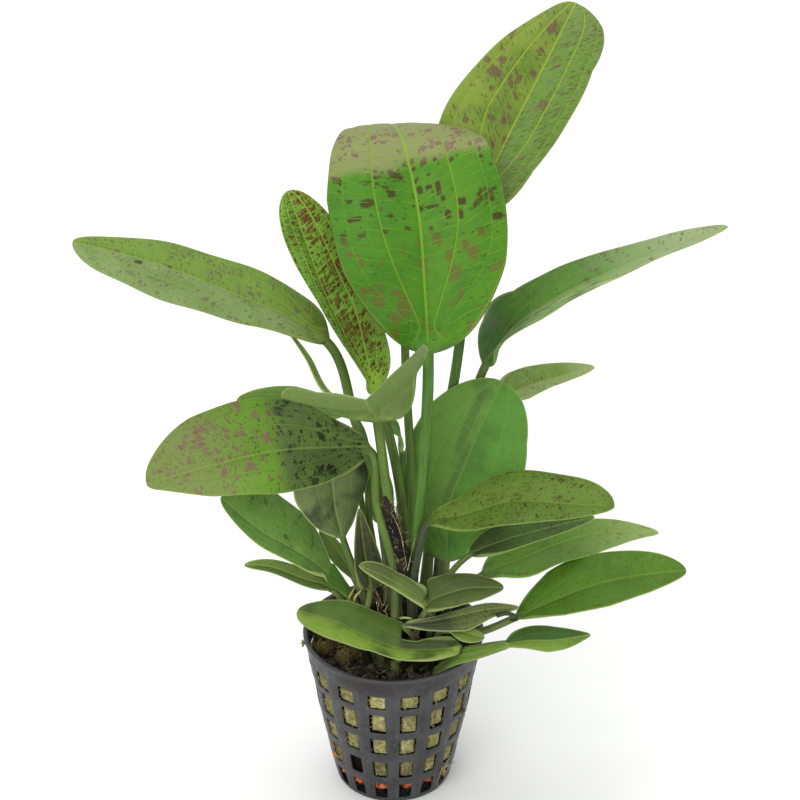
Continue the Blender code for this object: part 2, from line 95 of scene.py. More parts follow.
# The stalk's round section turns into the flat blade over this share of the blade
FLAT_FROM = 0.09
WING_END = 0.12
WING_LIFT = 0.22
WAVE = 0.45
WAVE_LENGTH = 4.2
WIDE_LEAF = 10.0
VEINS_WIDE = (0.46, 0.82)
VEINS_SMALL = (0.44, 0.8)
# Share of the blade over which each vein, from the inside, moves away from the rib
VEIN_SPREAD = (0.45, 0.36)
# Colour of painted shade in patches on the stalks, where they crowd together
STALK_PAINTED_SHADE = (58, 68, 48)
# Mud and painted shade at the stalks' feet, which stand in shade by the soil: its colour, and the lengths
# up the stalk over which it fades
STALK_MUD_AND_SHADE = (34, 30, 26)
MUD_AND_SHADE_FROM = 12.0
MUD_AND_SHADE_TO = 23.0

# Studio
WORLD_LIGHT = 0.8
OVERHEAD_LIGHT = 9.0
FILL_LIGHT = 12.0
# In metres, and the camera's pitch in degrees
LIGHT_TARGET = (0, 0, 0.1)
CAMERA_PLACE = (0.002, -0.6963, 0.5259)
CAMERA_PITCH = 60.5
CAMERA_LENS = 124.56

# What a leaf's look has where its own entry says nothing. Colours are 0 to 255, pairs are for the left
# and the right half of the blade, and t runs from 0 at the blade's base to 1 at its tip.
PLAIN_LOOK = dict(
    left=(92, 128, 54), right=(92, 128, 54), deep=(64, 96, 38), base=None, base_to=(0.0, 0.3),
    base_side=None, tip=None, tip_from=(0.6, 1.0), tip_share=1.0, tint=(1.0, 1.0, 1.0),
    under=(116, 140, 74), edge=(146, 166, 92), edge_share=0.6, edge_width=0.4, stem=(98, 126, 58),
    stem_low=(112, 126, 76), mud=1.0, vein=(150, 168, 84), vein_share=0.05, outer_share=0.5, rib_share=0.25,
    rib_width=1.0, rib_from=(-0.02, -0.01), cross_share=0.03, cross_gap=2.3, slant=0.3, spots=(0.0, 0.0),
    spot=(84, 58, 44), spot_low=None, spot_low_to=(0.2, 0.4), spot_in_sheen=None, spot_size=(3.4, 2.1),
    spot_range=(-1.0, 2.0), flecks=(0.08, 0.08), fleck=(62, 78, 38), fleck_size=(1.5, 0.8),
    glints=(0.0, 0.0), glint=(160, 172, 130), glint_along=False, marks=(), mark=None, mark_share=0.9,
    patch=0.5, relief=0.3, camber=0.05, wing=None, jump=None,
)

TOP_RIGHT_MARKS = (
    (12.0, 181.5, 2.4, 1.6), (15.4, 184.1, 1.0, 1.0), (11.5, 186.2, 1.2, 1.3), (4.9, 182.5, 0.8, 1.8),
    (2.8, 202.5, 1.3, 1.9), (13.0, 196.6, 1.3, 1.2), (6.6, 168.0, 1.5, 0.9), (3.2, 168.7, 0.9, 1.1),
    (13.0, 163.8, 0.9, 1.1), (10.5, 176.5, 0.9, 1.1), (3.4, 173.6, 0.8, 0.7), (-5.0, 178.5, 1.5, 1.7),
    (2.0, 186.8, 1.1, 1.1),
)

CENTRE_MARKS = (
    (14.0, 149.6, 2.1, 1.4), (18.0, 145.0, 2.1, 0.9), (10.4, 147.0, 0.6, 0.5), (-6.6, 150.2, 0.8, 2.1),
    (-1.3, 150.6, 0.9, 1.3), (-4.0, 150.9, 1.0, 0.6), (6.6, 151.2, 1.2, 1.2), (-8.1, 142.8, 0.9, 1.2),
    (-12.4, 145.6, 1.4, 1.0), (-11.8, 142.6, 0.7, 1.5), (-4.0, 145.4, 2.0, 0.5), (-22.0, 141.0, 1.6, 0.9),
    (-12.2, 134.4, 1.1, 1.9), (-14.4, 132.5, 1.7, 2.1), (-4.4, 136.7, 1.6, 1.6), (-3.0, 139.4, 0.6, 1.0),
    (-7.4, 132.0, 1.1, 1.7), (-8.8, 126.8, 1.9, 2.6), (-17.0, 137.5, 1.1, 1.1), (16.8, 139.4, 1.2, 0.7),
    (17.4, 131.4, 0.9, 1.4), (11.6, 131.2, 0.8, 0.7), (13.2, 120.6, 1.9, 2.5), (8.2, 122.2, 1.6, 1.1),
    (6.2, 118.4, 1.9, 3.0), (-10.0, 120.6, 0.8, 1.8), (9.0, 110.4, 1.3, 1.6), (-15.6, 116.9, 1.1, 0.7),
    (22.0, 138.5, 0.9, 2.2), (18.2, 133.5, 1.3, 0.5),
)

# The look of each leaf, where it differs from the plain one
LOOKS = {
    "top_right": dict(
        left=(124, 150, 60), right=(100, 138, 56), deep=(80, 120, 40), tip=(128, 146, 92),
        tip_from=(0.7, 1.2), tip_share=0.6, tint=(0.85, 0.8, 0.65), stem=(84, 122, 52),
        stem_low=(96, 116, 60), vein=(158, 184, 54), vein_share=0.65, outer_share=0.35, rib_share=0.75,
        rib_width=0.75, cross_share=0.14, cross_gap=3.2, slant=0.9, spots=(0.07, 0.03), spot=(104, 80, 66),
        spot_size=(3.2, 2.6), flecks=(0.22, 0.45), fleck=(72, 92, 42), fleck_size=(1.6, 0.7),
        glints=(0.1, 0.3), glint=(134, 152, 122), marks=TOP_RIGHT_MARKS, mark_share=0.8, relief=1.0,
    ),
    # Painted sheen: from t 0.53 the blade is painted pale grey, as the reflection where it bends over
    # towards the light. Its spots there are paler under that sheen.
    "centre": dict(
        left=(82, 146, 36), right=(88, 148, 38), deep=(60, 126, 38), tip=(150, 158, 112),
        tip_from=(0.53, 0.57), tip_share=0.85, tint=(0.75, 0.7, 0.55), stem=(86, 128, 52),
        stem_low=(104, 124, 62), vein=(136, 184, 56), vein_share=0.7, outer_share=0.35, rib_share=0.8,
        rib_from=(0.0, 0.16), cross_share=0.34, cross_gap=3.1, spots=(0.12, 0.12), spot=(72, 58, 26),
        spot_low=(106, 114, 50), spot_low_to=(0.32, 0.38), spot_in_sheen=(136, 108, 112), spot_size=(4.2, 3.4),
        spot_range=(0.44, 2.0), flecks=(0.1, 0.12), fleck=(72, 100, 28), fleck_size=(1.4, 0.9),
        marks=CENTRE_MARKS, relief=1.0,
    ),
    "narrow_spotted": dict(
        left=(104, 144, 44), right=(106, 148, 46), deep=(72, 112, 32), base=(140, 176, 50),
        base_to=(0.04, 0.22), tint=(1.2, 1.2, 1.5), vein=(150, 180, 62), vein_share=0.6, rib_share=0.7,
        rib_width=0.8, cross_share=0.5, cross_gap=2.2, spots=(0.1, 0.7), spot=(88, 42, 20),
        spot_size=(2.8, 1.7), spot_range=(0.14, 1.2), flecks=(0.75, 0.2), fleck=(50, 60, 26), relief=1.0,
    ),
    "far_left": dict(
        left=(134, 156, 98), right=(118, 150, 62), deep=(100, 130, 58), base=(120, 132, 44),
        base_to=(0.02, 0.12), tint=(0.8, 0.8, 0.75), vein=(138, 168, 70), vein_share=0.55, rib_share=0.6,
        rib_width=0.8, cross_share=0.24, cross_gap=2.8, spots=(0.04, 0.09), spot=(110, 106, 84),
        spot_size=(2.6, 1.8), flecks=(0.16, 0.3), fleck=(90, 104, 58), glints=(0.14, 0.0),
        glint=(150, 162, 124), marks=((1.9, 165.9, 1.0, 1.1), (-0.2, 156.9, 0.5, 0.9)), mark=(58, 46, 38),
        relief=0.7,
    ),
    "right_long": dict(
        left=(86, 126, 48), right=(124, 148, 88), deep=(64, 104, 38), base=(56, 100, 40),
        base_to=(0.06, 0.26), tip=(140, 154, 114), tip_from=(0.4, 0.85), tint=(0.95, 1.0, 0.9),
        vein=(150, 170, 90), vein_share=0.08, rib_share=0.35, spots=(0.09, 0.03), spot=(98, 92, 66),
        flecks=(0.14, 0.06), fleck=(70, 84, 40), glints=(0.1, 0.75), glint=(158, 172, 126),
        glint_along=True, relief=0.5,
    ),
    "right_small": dict(
        left=(98, 130, 49), right=(118, 144, 78), deep=(78, 108, 42), tip=(127, 150, 91),
        tint=(1.3, 1.15, 1.35), glints=(0.2, 0.3),
    ),
    # The two long marks are a painted shadow: a stalk behind the blade, which shows as a dark streak
    # through it.
    "standing": dict(
        left=(90, 132, 52), right=(78, 130, 46), deep=(60, 94, 38), tint=(1.25, 1.15, 1.3),
        vein=(120, 156, 70), vein_share=0.22, rib_share=0.35, rib_width=0.6, cross_share=0.14,
        cross_gap=2.8, flecks=(0.03, 0.04), fleck=(84, 108, 44),
        marks=((1.4, 56, 1.0, 12), (3.6, 74, 1.3, 12)), mark=(66, 88, 42), mark_share=0.5, relief=0.6,
    ),
    # The darker base over the inner part of the blade, with its near-black spots, is painted shade. The
    # pale tip over the outer part is a painted reflection over the blade's own olive and pinkish tone.
    "spotted_left": dict(
        left=(104, 148, 42), right=(102, 146, 42), deep=(98, 134, 46), base=(84, 104, 60),
        base_to=(0.37, 0.46), tip=(128, 142, 84), tip_from=(0.46, 0.8), tip_share=0.8, tint=(0.8, 0.8, 0.7),
        vein=(138, 162, 78), vein_share=0.2, rib_share=0.45, cross_share=0.1, spots=(0.17, 0.17),
        spot=(126, 98, 88), spot_low=(34, 34, 22), spot_low_to=(0.38, 0.46), spot_in_sheen=(128, 100, 90),
        spot_size=(3.8, 2.6), flecks=(0.32, 0.32), fleck=(70, 82, 40), relief=0.8,
    ),
    "toward_left": dict(
        left=(104, 134, 62), right=(118, 140, 84), deep=(92, 118, 54), tint=(0.95, 0.9, 1.0),
        edge=(150, 174, 92), edge_share=0.8, camber=-0.05,
    ),
    "right_spotted": dict(
        left=(104, 130, 58), right=(98, 126, 54), deep=(80, 104, 42), tint=(0.8, 0.85, 0.6),
        stem=(70, 80, 56), stem_low=(60, 66, 48), rib_share=0.12, spots=(0.08, 0.12), spot=(72, 62, 32),
        spot_size=(2.0, 1.2), flecks=(0.27, 0.32), fleck=(76, 74, 36), fleck_size=(1.2, 0.7),
    ),
    # The darker base is painted shade, where this leaf lies under the leaf above it.
    "right_shaded": dict(
        left=(74, 95, 47), right=(74, 95, 47), deep=(62, 78, 42), base=(54, 58, 36), base_to=(0.1, 0.45),
        tint=(1.2, 1.3, 1.25), spots=(0.12, 0.12), spot=(56, 60, 34), spot_size=(1.8, 1.1),
    ),
    "right_pale": dict(
        left=(100, 132, 58), right=(96, 128, 55), deep=(76, 108, 44), tip=(136, 152, 98),
        tip_from=(0.4, 1.0), tint=(1.05, 1.15, 0.95), spots=(0.04, 0.05), spot=(112, 98, 52),
        spot_size=(1.6, 1.1),
    ),
    "right_low": dict(
        left=(90, 132, 44), right=(86, 126, 42), deep=(68, 106, 36), tint=(0.85, 0.85, 0.7), edge_share=0.9,
        vein_share=0.03, spots=(0.06, 0.1), spot=(84, 104, 40), spot_size=(1.6, 1.0), flecks=(0.12, 0.2),
        fleck=(84, 96, 44), relief=0.5,
    ),
    "right_lowest": dict(
        left=(58, 96, 36), right=(120, 156, 60), deep=(60, 79, 32), tint=(1.0, 0.95, 1.05),
        stem=(118, 146, 70), stem_low=(120, 148, 70), mud=0.0, rib_share=0.5,
        wing=((0, 0.6), (0.3, 1.8), (0.6, 2.0), (0.85, 1.2), (1, 0.5)),
    ),
    # The base colour on the right half is painted shadow. The much lighter left half is partly painted
    # light, where that half faces up towards the light.
    "front_left": dict(
        left=(136, 174, 66), right=(86, 118, 50), deep=(68, 92, 42), base=(58, 72, 46), base_to=(0.3, 0.4),
        base_side="right", tint=(1.05, 0.95, 1.1), edge_share=0.95, edge_width=0.5, vein_share=0.03,
        flecks=(0.0, 0.0), patch=0.9, jump=("right", (0.345, 0.362)),
    ),
    "front_shoot": dict(
        left=(150, 168, 110), right=(150, 168, 110), deep=(124, 146, 84), tint=(1.3, 1.15, 1.55),
        stem=(150, 164, 104), mud=0.0,
    ),
    "left_back": dict(
        left=(85, 124, 50), deep=(66, 98, 38), tint=(1.55, 1.45, 1.75), edge_share=0.8, stem=(92, 140, 58),
        stem_low=(98, 136, 60), mud=0.3, spots=(0.05, 0.05), spot=(60, 76, 32), spot_size=(2.2, 1.3),
        flecks=(0.05, 0.05), wing=((0, 0.3), (0.55, 0.3), (0.8, 1.5), (1, 3.2)),
    ),
    "left_low": dict(
        left=(82, 106, 45), right=(90, 112, 52), deep=(62, 84, 36), tint=(1.6, 1.5, 1.7),
        edge=(133, 152, 98),
    ),
    "mid_left": dict(
        left=(112, 134, 66), right=(86, 104, 50), deep=(66, 74, 42), tint=(1.5, 1.4, 1.55),
        edge=(137, 154, 93), edge_share=0.95, edge_width=0.6, flecks=(0.02, 0.02),
    ),
    "mid_right": dict(
        left=(83, 96, 52), right=(88, 102, 54), deep=(62, 76, 40), tint=(1.2, 1.15, 1.25),
        edge=(137, 150, 88), edge_share=0.8, flecks=(0.03, 0.03),
    ),
    "low_mottled": dict(
        left=(104, 122, 60), right=(96, 114, 54), deep=(70, 80, 44), base=(52, 58, 42), base_to=(0.3, 0.5),
        tint=(1.3, 1.15, 1.6), spots=(0.14, 0.14), spot=(62, 66, 40), spot_size=(1.8, 1.2),
        flecks=(0.3, 0.3),
    ),
    "small_curled": dict(
        left=(80, 110, 50), right=(74, 106, 46), deep=(56, 84, 36), tint=(1.55, 1.7, 1.65),
    ),
    "rim_young": dict(
        left=(114, 135, 59), right=(114, 135, 59), deep=(92, 112, 48), tint=(1.2, 1.15, 1.4),
    ),
    "left_tucked": dict(
        left=(92, 120, 52), right=(82, 112, 44), deep=(74, 100, 38), tint=(1.4, 1.4, 1.4),
    ),
    "left_shadow": dict(
        left=(85, 105, 55), right=(78, 98, 50), deep=(44, 52, 32), tint=(1.7, 1.5, 1.9), mud=0.4,
        flecks=(0.0, 0.0), patch=1.0,
    ),
    "left_dark": dict(
        left=(66, 74, 48), right=(60, 68, 44), deep=(44, 52, 34), tint=(0.9, 0.85, 0.75), mud=0.5,
        spots=(0.16, 0.16), spot=(40, 44, 32),
    ),
    "behind_left": dict(
        left=(90, 111, 57), right=(90, 111, 57), tint=(1.4, 1.4, 1.35),
    ),
    "behind_low": dict(
        left=(101, 122, 60), right=(101, 122, 60), tint=(1.4, 1.4, 1.4),
    ),
    "behind_centre": dict(
        tint=(1.4, 1.4, 1.4),
    ),
    "spear": dict(
        left=(126, 139, 83), right=(126, 139, 83), tint=(1.4, 1.4, 1.4),
    ),
}

# Every leaf: the foot of its stalk on the crown, the stalk's route, the midrib's route from the blade's
# base to its tip, the direction across the blade to its left, the fold of the left and the right half in
# degrees, once more for the tip where that differs, the breadth of each half at SHAPE_KNOTS, and the
# radius of the stalk's foot and top.
Leaf = namedtuple("Leaf", "foot stalk rib across fold left right radius")
LEAVES = {
    "top_right": Leaf(
        (8.6, 4.6), ((12.1, 16, 86.3), (19.3, 18, 139.4)),
        ((23, 22, 181), (32, 38, 195), (43, 56, 210), (54, 74, 225)), (-0.9, 0.15, 0.22), (5, 8),
        (23, 22.5, 19, 15.5, 12), (15, 13, 14, 15.8, 22), (1.7, 1.4),
    ),
    "centre": Leaf(
        (5.3, -3.0), ((5.8, -4, 76), (9.2, -6, 120)),
        ((10, -5, 150), (9, 2, 167), (7, 12, 188), (3, 24, 202), (0, 40, 201), (-2, 56, 188)),
        (-1.0, 0.0, 0.05), (8, 8, -16, -5), (23.3, 26.3, 25, 19, 15), (26.5, 27, 24, 22.5, 22), (1.9, 1.6),
    ),
    "narrow_spotted": Leaf(
        (2.2, 1.0), ((3, 2.5, 90), (-0.3, 1.5, 115)),
        ((-5, 0, 134), (-13, 4, 149), (-21, 9, 166), (-26, 13, 180), (-30, 16, 191)), (-0.75, -0.6, 0.0),
        (50, 5, 20, 5), (8, 6, 7.5, 11.5, 15.5), (16, 15, 13.6, 13, 13), (1.6, 1.4),
    ),
    "far_left": Leaf(
        (-1.0, -0.5), ((-1.6, -1.5, 82), (-4.2, -1.5, 102), (-11, 0, 125)),
        ((-19, 2, 150), (-31, 5, 157), (-47, 8, 163), (-65, 10, 170), (-91, 10, 178)), (-0.15, -0.95, -0.3),
        (5, 5), (11, 10.8, 13.3, 15.0, 15.5), (15, 12.5, 10.7, 8.7, 7.5), (1.7, 1.4),
    ),
    "right_long": Leaf(
        (12.4, 7.4), ((15, 15, 78.4), (22.2, 15.5, 114.5)),
        ((27.2, 16, 134.7), (34, 17, 145.4), (48, 22, 154), (62, 27, 159), (77, 31, 164), (98, 34, 171)),
        (-0.2, 0.8, 0.45), (-8, 42), (26, 12.5, 8.9, 6.5, 6), (11, 11.8, 8.6, 8.0, 8.5), (1.6, 1.3),
    ),
    "right_small": Leaf(
        (9.0, 8.8), ((13, 17.5, 76), (24, 30, 99)),
        ((33.4, 36.4, 112), (41.5, 42.4, 113), (51.6, 48.4, 113), (62, 52.4, 114)), (-0.2, 0.9, 0.2),
        (8, 8), (10, 8.5, 6.7, 5.5, 4.4), (9, 6, 4.0, 3.5, 3.5), (1.1, 0.9),
    ),
    "standing": Leaf(
        (12.0, 4.0), ((14.5, 5.5, 60),),
        ((15.9, 7.6, 71.9), (17.8, 8.6, 95.2), (20.6, 9.2, 102.5), (25.4, 9.6, 116.5), (32, 11, 131.9)),
        (-0.95, 0.2, 0.15), (-8, -8), (20, 18.7, 18.6, 18.7, 17), (15, 17.9, 18.1, 17.0, 18), (1.4, 1.3),
    ),
    "spotted_left": Leaf(
        (0.3, -7.6), ((0, -8.3, 80), (-5, -8.5, 103)),
        ((-7, -8, 120), (-18, -12, 123), (-35, -16, 124), (-51, -20, 122), (-70, -24, 118)),
        (-0.1, -0.85, -0.5), (8, 8), (12, 14.8, 14.7, 12, 8), (10, 15.5, 17.1, 18.5, 17), (1.4, 1.2),
    ),
    "toward_left": Leaf(
        (1.8, -3.8), ((0.9, -5, 82), (-1.7, -8, 105)), ((-4.6, -12, 132.6), (-6, -35, 149), (-7, -60, 166)),
        (0.93, -0.1, 0.1), (44, 8, 44, 16), (30, 25, 22, 25, 32), (34, 27, 25, 22, 20), (1.6, 1.4),
    ),
    "right_spotted": Leaf(
        (6.8, -7.3), ((6, -8.6, 75), (7.8, -8.3, 87)),
        ((10, -8, 95), (20, -8.5, 98), (35, -9, 103), (50, -12, 104), (64, -15, 105)), (0.1, 0.9, 0.35),
        (6, 6), (7, 9.9, 10.6, 11.4, 12), (7, 9.4, 9.1, 7.5, 6.0), (1.5, 1.2),
    ),
    "right_shaded": Leaf(
        (11.0, -3.5), ((13, -2.6, 66),), ((23, 0, 79), (34, 2, 83), (47, 4, 86), (60, 5, 89)),
        (0.2, 0.9, 0.35), (5, 5), (9, 7.0, 6.0, 5.5, 4), (7, 5.5, 4.5, 4, 3.5), (1.2, 0.9),
    ),
    "right_pale": Leaf(
        (12.5, 0.0), ((18, 3, 60),), ((27, 6, 68), (39, 10, 71), (53, 14, 75), (64, 17, 76), (81, 20, 74)),
        (0.2, 0.9, 0.3), (14, 14), (9, 7, 6, 5, 4), (10, 12.0, 10.2, 7.8, 4), (1.2, 1.0),
    ),
    "right_low": Leaf(
        (11.5, -7.0), ((19, -9, 55), (28, -9, 58)),
        ((37, -8, 62), (47, -6, 66), (63, -3, 71), (77, 0, 72), (88, 2, 72)), (0.1, 0.9, 0.35), (5, 5),
        (9.5, 12, 10.7, 10, 9.5), (6, 8.6, 9.3, 8.2, 6.5), (1.3, 1.1),
    ),
    "right_lowest": Leaf(
        (13.0, -14.5), ((18.5, -18, 53.8), (25.7, -20, 57.6)),
        ((33, -20, 60), (39, -21, 62), (48, -22, 63), (58, -22, 65)), (0.1, 0.9, 0.25), (10, 10),
        (7, 6.0, 5.2, 4.2, 3), (3, 3.8, 5.2, 4.6, 3.3), (1.2, 1.2),
    ),
    "front_left": Leaf(
        (7.0, -11.6), ((12.5, -14.6, 52.4),),
        (
            (19.5, -17.5, 57.6), (10.9, -18.5, 57.2), (2, -18, 57.4),
            (-6.9, -17, 60.4), (-15.8, -15, 64.4), (-28.5, -10, 65.6),
        ),
        (-0.1, -0.9, -0.3), (12, 12), (7.5, 5.8, 5.2, 9.4, 10), (8, 3.4, 9.2, 8.8, 8), (1.2, 1.0),
    ),
    "front_shoot": Leaf(
        (0.8, -11.6), ((1.4, -13.0, 49.7),), ((1.8, -14.4, 51.4), (2.1, -15.3, 52.5), (2.3, -16, 53.6)),
        (0.9, -0.3, 0.0), (10, 10), (1.9, 1.7, 1.5, 1.2, 0.9), (1.9, 1.7, 1.5, 1.2, 0.9), (1.2, 1.1),
    ),
    "left_back": Leaf(
        (-6.0, -5.0), ((-10.5, -5.5, 64),), ((-19, -5, 75), (-28, -8, 85), (-38, -10, 93), (-50, -12, 106)),
        (-0.1, -0.9, -0.35), (6, 6), (6, 6.2, 5.8, 6, 7), (12, 13.2, 14.8, 16, 16), (1.2, 1.0),
    ),
    "left_low": Leaf(
        (-7.8, -8.6), ((-12, -6.6, 61),), ((-18, -5, 69.5), (-28, -8, 76), (-37, -9, 80.5), (-44, -9, 81)),
        (-0.1, -0.9, -0.3), (25, 25), (4.5, 4.9, 4.4, 4.0, 4.0), (3.6, 3.4, 3.2, 2.8, 2.8), (1.0, 0.9),
    ),
    "mid_left": Leaf(
        (4.4, -10.2), ((7.9, -11.2, 62.5),), ((9.5, -15.5, 71), (1, -16, 79), (-10, -17, 86)),
        (-0.1, -0.9, -0.2), (12, 12), (5.5, 4.6, 3.6, 3.4, 3.2), (9, 5, 4, 4.6, 4.6), (1.0, 0.9),
    ),
    "mid_right": Leaf(
        (9.8, -8.8), ((11, -9.6, 62),), ((9.9, -14.6, 70.9), (20, -14, 75.6), (32.5, -15, 77)),
        (0.1, 0.9, 0.25), (8, 8), (14, 8.5, 6, 5, 4.3), (10, 7.4, 7, 6.6, 4.6), (1.0, 0.9),
    ),
    "low_mottled": Leaf(
        (3.2, -11.9), ((6.0, -12.9, 58.2),),
        ((3.2, -15.5, 63.8), (12, -14.5, 65), (20, -13, 65.9), (28, -10.5, 66.2), (37.5, -9, 66)),
        (0.1, 0.85, 0.4), (8, 0), (2, 1.4, 2.0, 2.5, 2.3), (3, 4.2, 5.8, 3.4, 2.2), (0.9, 0.8),
    ),
    "small_curled": Leaf(
        (3.5, 9.0), ((1.6, 11.6, 84),), ((2.4, 9.6, 109), (1.0, 8.4, 117.4), (-4, 7, 120.5)),
        (0.2, -0.8, -0.5), (5, 5), (2.5, 3.2, 3.3, 3.0, 3.0), (2.5, 3.4, 3.6, 3.0, 2.8), (1.0, 0.8),
    ),
    "rim_young": Leaf(
        (12.0, -10.8), ((14, -12, 59.3),), ((17, -14.6, 61.4), (21.5, -16.5, 62), (27, -18.5, 61.6)),
        (0.0, 0.9, 0.3), (5, 5), (2.6, 2.2, 2.2, 2.2, 2.0), (2, 3, 3.7, 3.8, 3.5), (0.9, 0.8),
    ),
    "left_tucked": Leaf(
        (-2.5, 5.5), ((-7, 7, 85),), ((-14, 10, 122), (-27, 11, 124), (-37, 12, 125), (-46, 12, 125)),
        (0.1, -0.85, -0.45), (5, 5), (6.5, 5.5, 5, 4.5, 4), (5, 5.5, 5.8, 5.0, 4.7), (1.1, 0.9),
    ),
    "left_shadow": Leaf(
        (-5.5, -1.5), ((-9, -2.5, 66),), ((-15, -3, 87), (-17, -3, 96), (-18, -3, 107), (-21, -3, 121)),
        (-0.8, -0.5, 0.0), (10, 10), (7, 10, 13.5, 16, 16), (7.5, 9, 11.2, 13.0, 14), (1.2, 1.0),
    ),
    "left_dark": Leaf(
        (-3.5, -8.5), ((-8, -7.5, 62),), ((-6.8, -7.8, 71.5), (-8.4, -8, 84), (-10, -8, 100)),
        (-0.9, -0.3, 0.0), (18, 18), (7.5, 5, 3.7, 2.8, 2.2), (8.5, 5.5, 4.2, 2.9, 2.2), (1.0, 0.9),
    ),
    "behind_left": Leaf(
        (0.5, 5.5), ((-2, 10, 66),), ((-4, 14, 81), (-5, 15, 91), (-7, 16, 103)), (-0.95, 0.2, 0.0), (5, 5),
        (4.5, 4.0, 3.7, 3.6, 3.7), (5.0, 5.1, 5.6, 5.8, 6), (1.0, 0.9),
    ),
    "behind_low": Leaf(
        (-6.5, 2.5), ((-9, 4, 60),), ((-12, 5, 67), (-15, 6, 73), (-22, 7, 84)), (-0.5, -0.7, -0.3),
        (10, 10), (2.5, 3.6, 4.2, 4.2, 4.0), (1.9, 2.3, 2.4, 2.2, 2.0), (0.9, 0.8),
    ),
    "behind_centre": Leaf(
        (4.9, 4.6), ((5.7, 9, 90), (3.6, 17, 135)), ((3, 22, 158), (2, 27, 172), (1, 35, 187)),
        (-1.0, 0.1, 0.0), (6, 6), (8, 9, 9.5, 9, 8), (8, 9, 9.5, 9, 8), (1.5, 1.2),
    ),
    "spear": Leaf(
        (-5.5, 6.0), ((-9.5, 5, 95),), ((-15, 3, 129), (-20, 4, 133), (-25, 5, 143), (-32.5, 6, 155)),
        (-0.5, -0.8, 0.2), (30, 30), (1.4, 1.6, 1.4, 1.0, 0.7), (1.4, 1.6, 1.4, 1.0, 0.7), (1.0, 0.8),
    ),
}


def srgb(r, g, b):
    """Linear colour from the usual 0 to 255 values."""
    out = []
    for value in (r, g, b):
        value /= 255
        out.append(value / 12.92 if value <= 0.04045 else ((value + 0.055) / 1.055) ** 2.4)
    return (*out, 1.0)


def smoothstep(x, low, high):
    s = np.clip((np.asarray(x, float) - low) / (high - low), 0, 1)
    return s * s * (3 - 2 * s)


# Shader graphs


class Value:
    """A value in a shader graph, for use in plain sums."""

    def __init__(self, graph, socket):
        self.graph = graph
        self.socket = socket

    def __add__(self, other):
        return self.graph.math("ADD", self, other)

    def __sub__(self, other):
        return self.graph.math("SUBTRACT", self, other)

    def __rsub__(self, other):
        return self.graph.math("SUBTRACT", other, self)

    def __mul__(self, other):
        return self.graph.math("MULTIPLY", self, other)

    def __truediv__(self, other):
        return self.graph.math("DIVIDE", self, other)

    def __abs__(self):
        return self.graph.math("ABSOLUTE", self)


class Graph:
    """Short calls for the nodes that the materials use."""

    def __init__(self, name):
        self.material = bpy.data.materials.new(name)
        self.material.use_nodes = True
        self.tree = self.material.node_tree
        self.shader = self.tree.nodes["Principled BSDF"]

    def feed(self, socket, value):
        if isinstance(value, Value):
            self.tree.links.new(value.socket, socket)
        else:
            socket.default_value = value

    def node(self, kind, inputs, **settings):
        """The outputs of a new node, from its inputs by name or number and its settings."""
        made = self.tree.nodes.new("ShaderNode" + kind)
        for key, value in settings.items():
            setattr(made, key, value)
        for key, value in inputs.items():
            self.feed(made.inputs[key], value)
        return [Value(self, socket) for socket in made.outputs]

    def math(self, operation, *values):
        return self.node("Math", dict(enumerate(values)), operation=operation)[0]

    def highest(self, a, b):
        return self.math("MAXIMUM", a, b)

    def step(self, value, low, high, start=0.0, end=1.0):
        """start below low, end above high, smooth between."""
        inputs = dict(enumerate((value, low, high, start, end)))
        return self.node("MapRange", inputs, interpolation_type="SMOOTHSTEP")[0]

    def mix(self, factor, a, b, blend="MIX"):
        inputs = {"Factor": factor, 6: a, 7: b}
        return self.node("Mix", inputs, data_type="RGBA", blend_type=blend, clamp_factor=True)[2]

    def vector(self, x, y, z=0.0):
        return self.node("CombineXYZ", dict(enumerate((x, y, z))))[0]

    def split(self, vector):
        return self.node("SeparateXYZ", {0: vector})

    def attribute(self, name):
        return self.split(self.node("Attribute", {}, attribute_name=name)[1])

    def place(self):
        """The object's own coordinates, in metres."""
        return self.node("TexCoord", {})[3]

    def noise(self, place, scale, detail=2.0, roughness=0.5, distortion=0.0):
        inputs = {"Vector": place, "Scale": scale, "Detail": detail, "Roughness": roughness}
        return self.node("TexNoise", {**inputs, "Distortion": distortion})[0]

    def cells(self, place, randomness):
        """Distance to the nearest cell's centre, and three random values for each cell."""
        inputs = {"Vector": place, "Scale": 1.0, "Randomness": randomness}
        outputs = self.node("TexVoronoi", inputs, voronoi_dimensions="2D", distance="CHEBYCHEV")
        return outputs[0], self.split(outputs[1])

    def finish(self, colour, roughness, specular, relief=None, strength=0.0, depth=0.0):
        """Feeds the shader, with a bump of the given depth in metres where there is a relief."""
        inputs = {"Base Color": colour, "Roughness": roughness, "Specular IOR Level": specular}
        if relief is not None:
            bump = self.node("Bump", {"Strength": strength, "Distance": depth, "Height": relief})
            inputs["Normal"] = bump[0]
        for key, value in inputs.items():
            self.feed(self.shader.inputs[key], value)
        return self.material


# Meshes


def add_piece(name, points, faces, material, slot, smooth=True, attributes=None):
    """A piece that rides on the plant's one body, from points in millimetres."""
    mesh = bpy.data.meshes.new(name)
    points = np.asarray(points, dtype=float) * MM
    mesh.from_pydata([tuple(p) for p in points], [], faces)
    mesh.materials.append(material)
    for key, values in (attributes or {}).items():
        layer = mesh.attributes.new(key, "FLOAT_VECTOR", "POINT")
        layer.data.foreach_set("vector", np.asarray(values, np.float32).ravel())
    mesh.validate()
    if smooth:
        mesh.shade_smooth()
    obj = bpy.data.objects.new(name, mesh)
    bpy.context.scene.collection.objects.link(obj)
    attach(obj, "root")
    return obj


def tube_faces(rings, around, start=0):
    """The faces of a closed tube of rings of points: first end, sides and last end."""
    faces = [tuple(start + k for k in reversed(range(around)))]
    for ring in range(rings - 1):
        for k in range(around):
            a = start + ring * around + k
            b = start + ring * around + (k + 1) % around
            faces.append((a, b, b + around, a + around))
    faces.append(tuple(start + (rings - 1) * around + k for k in range(around)))
    return faces


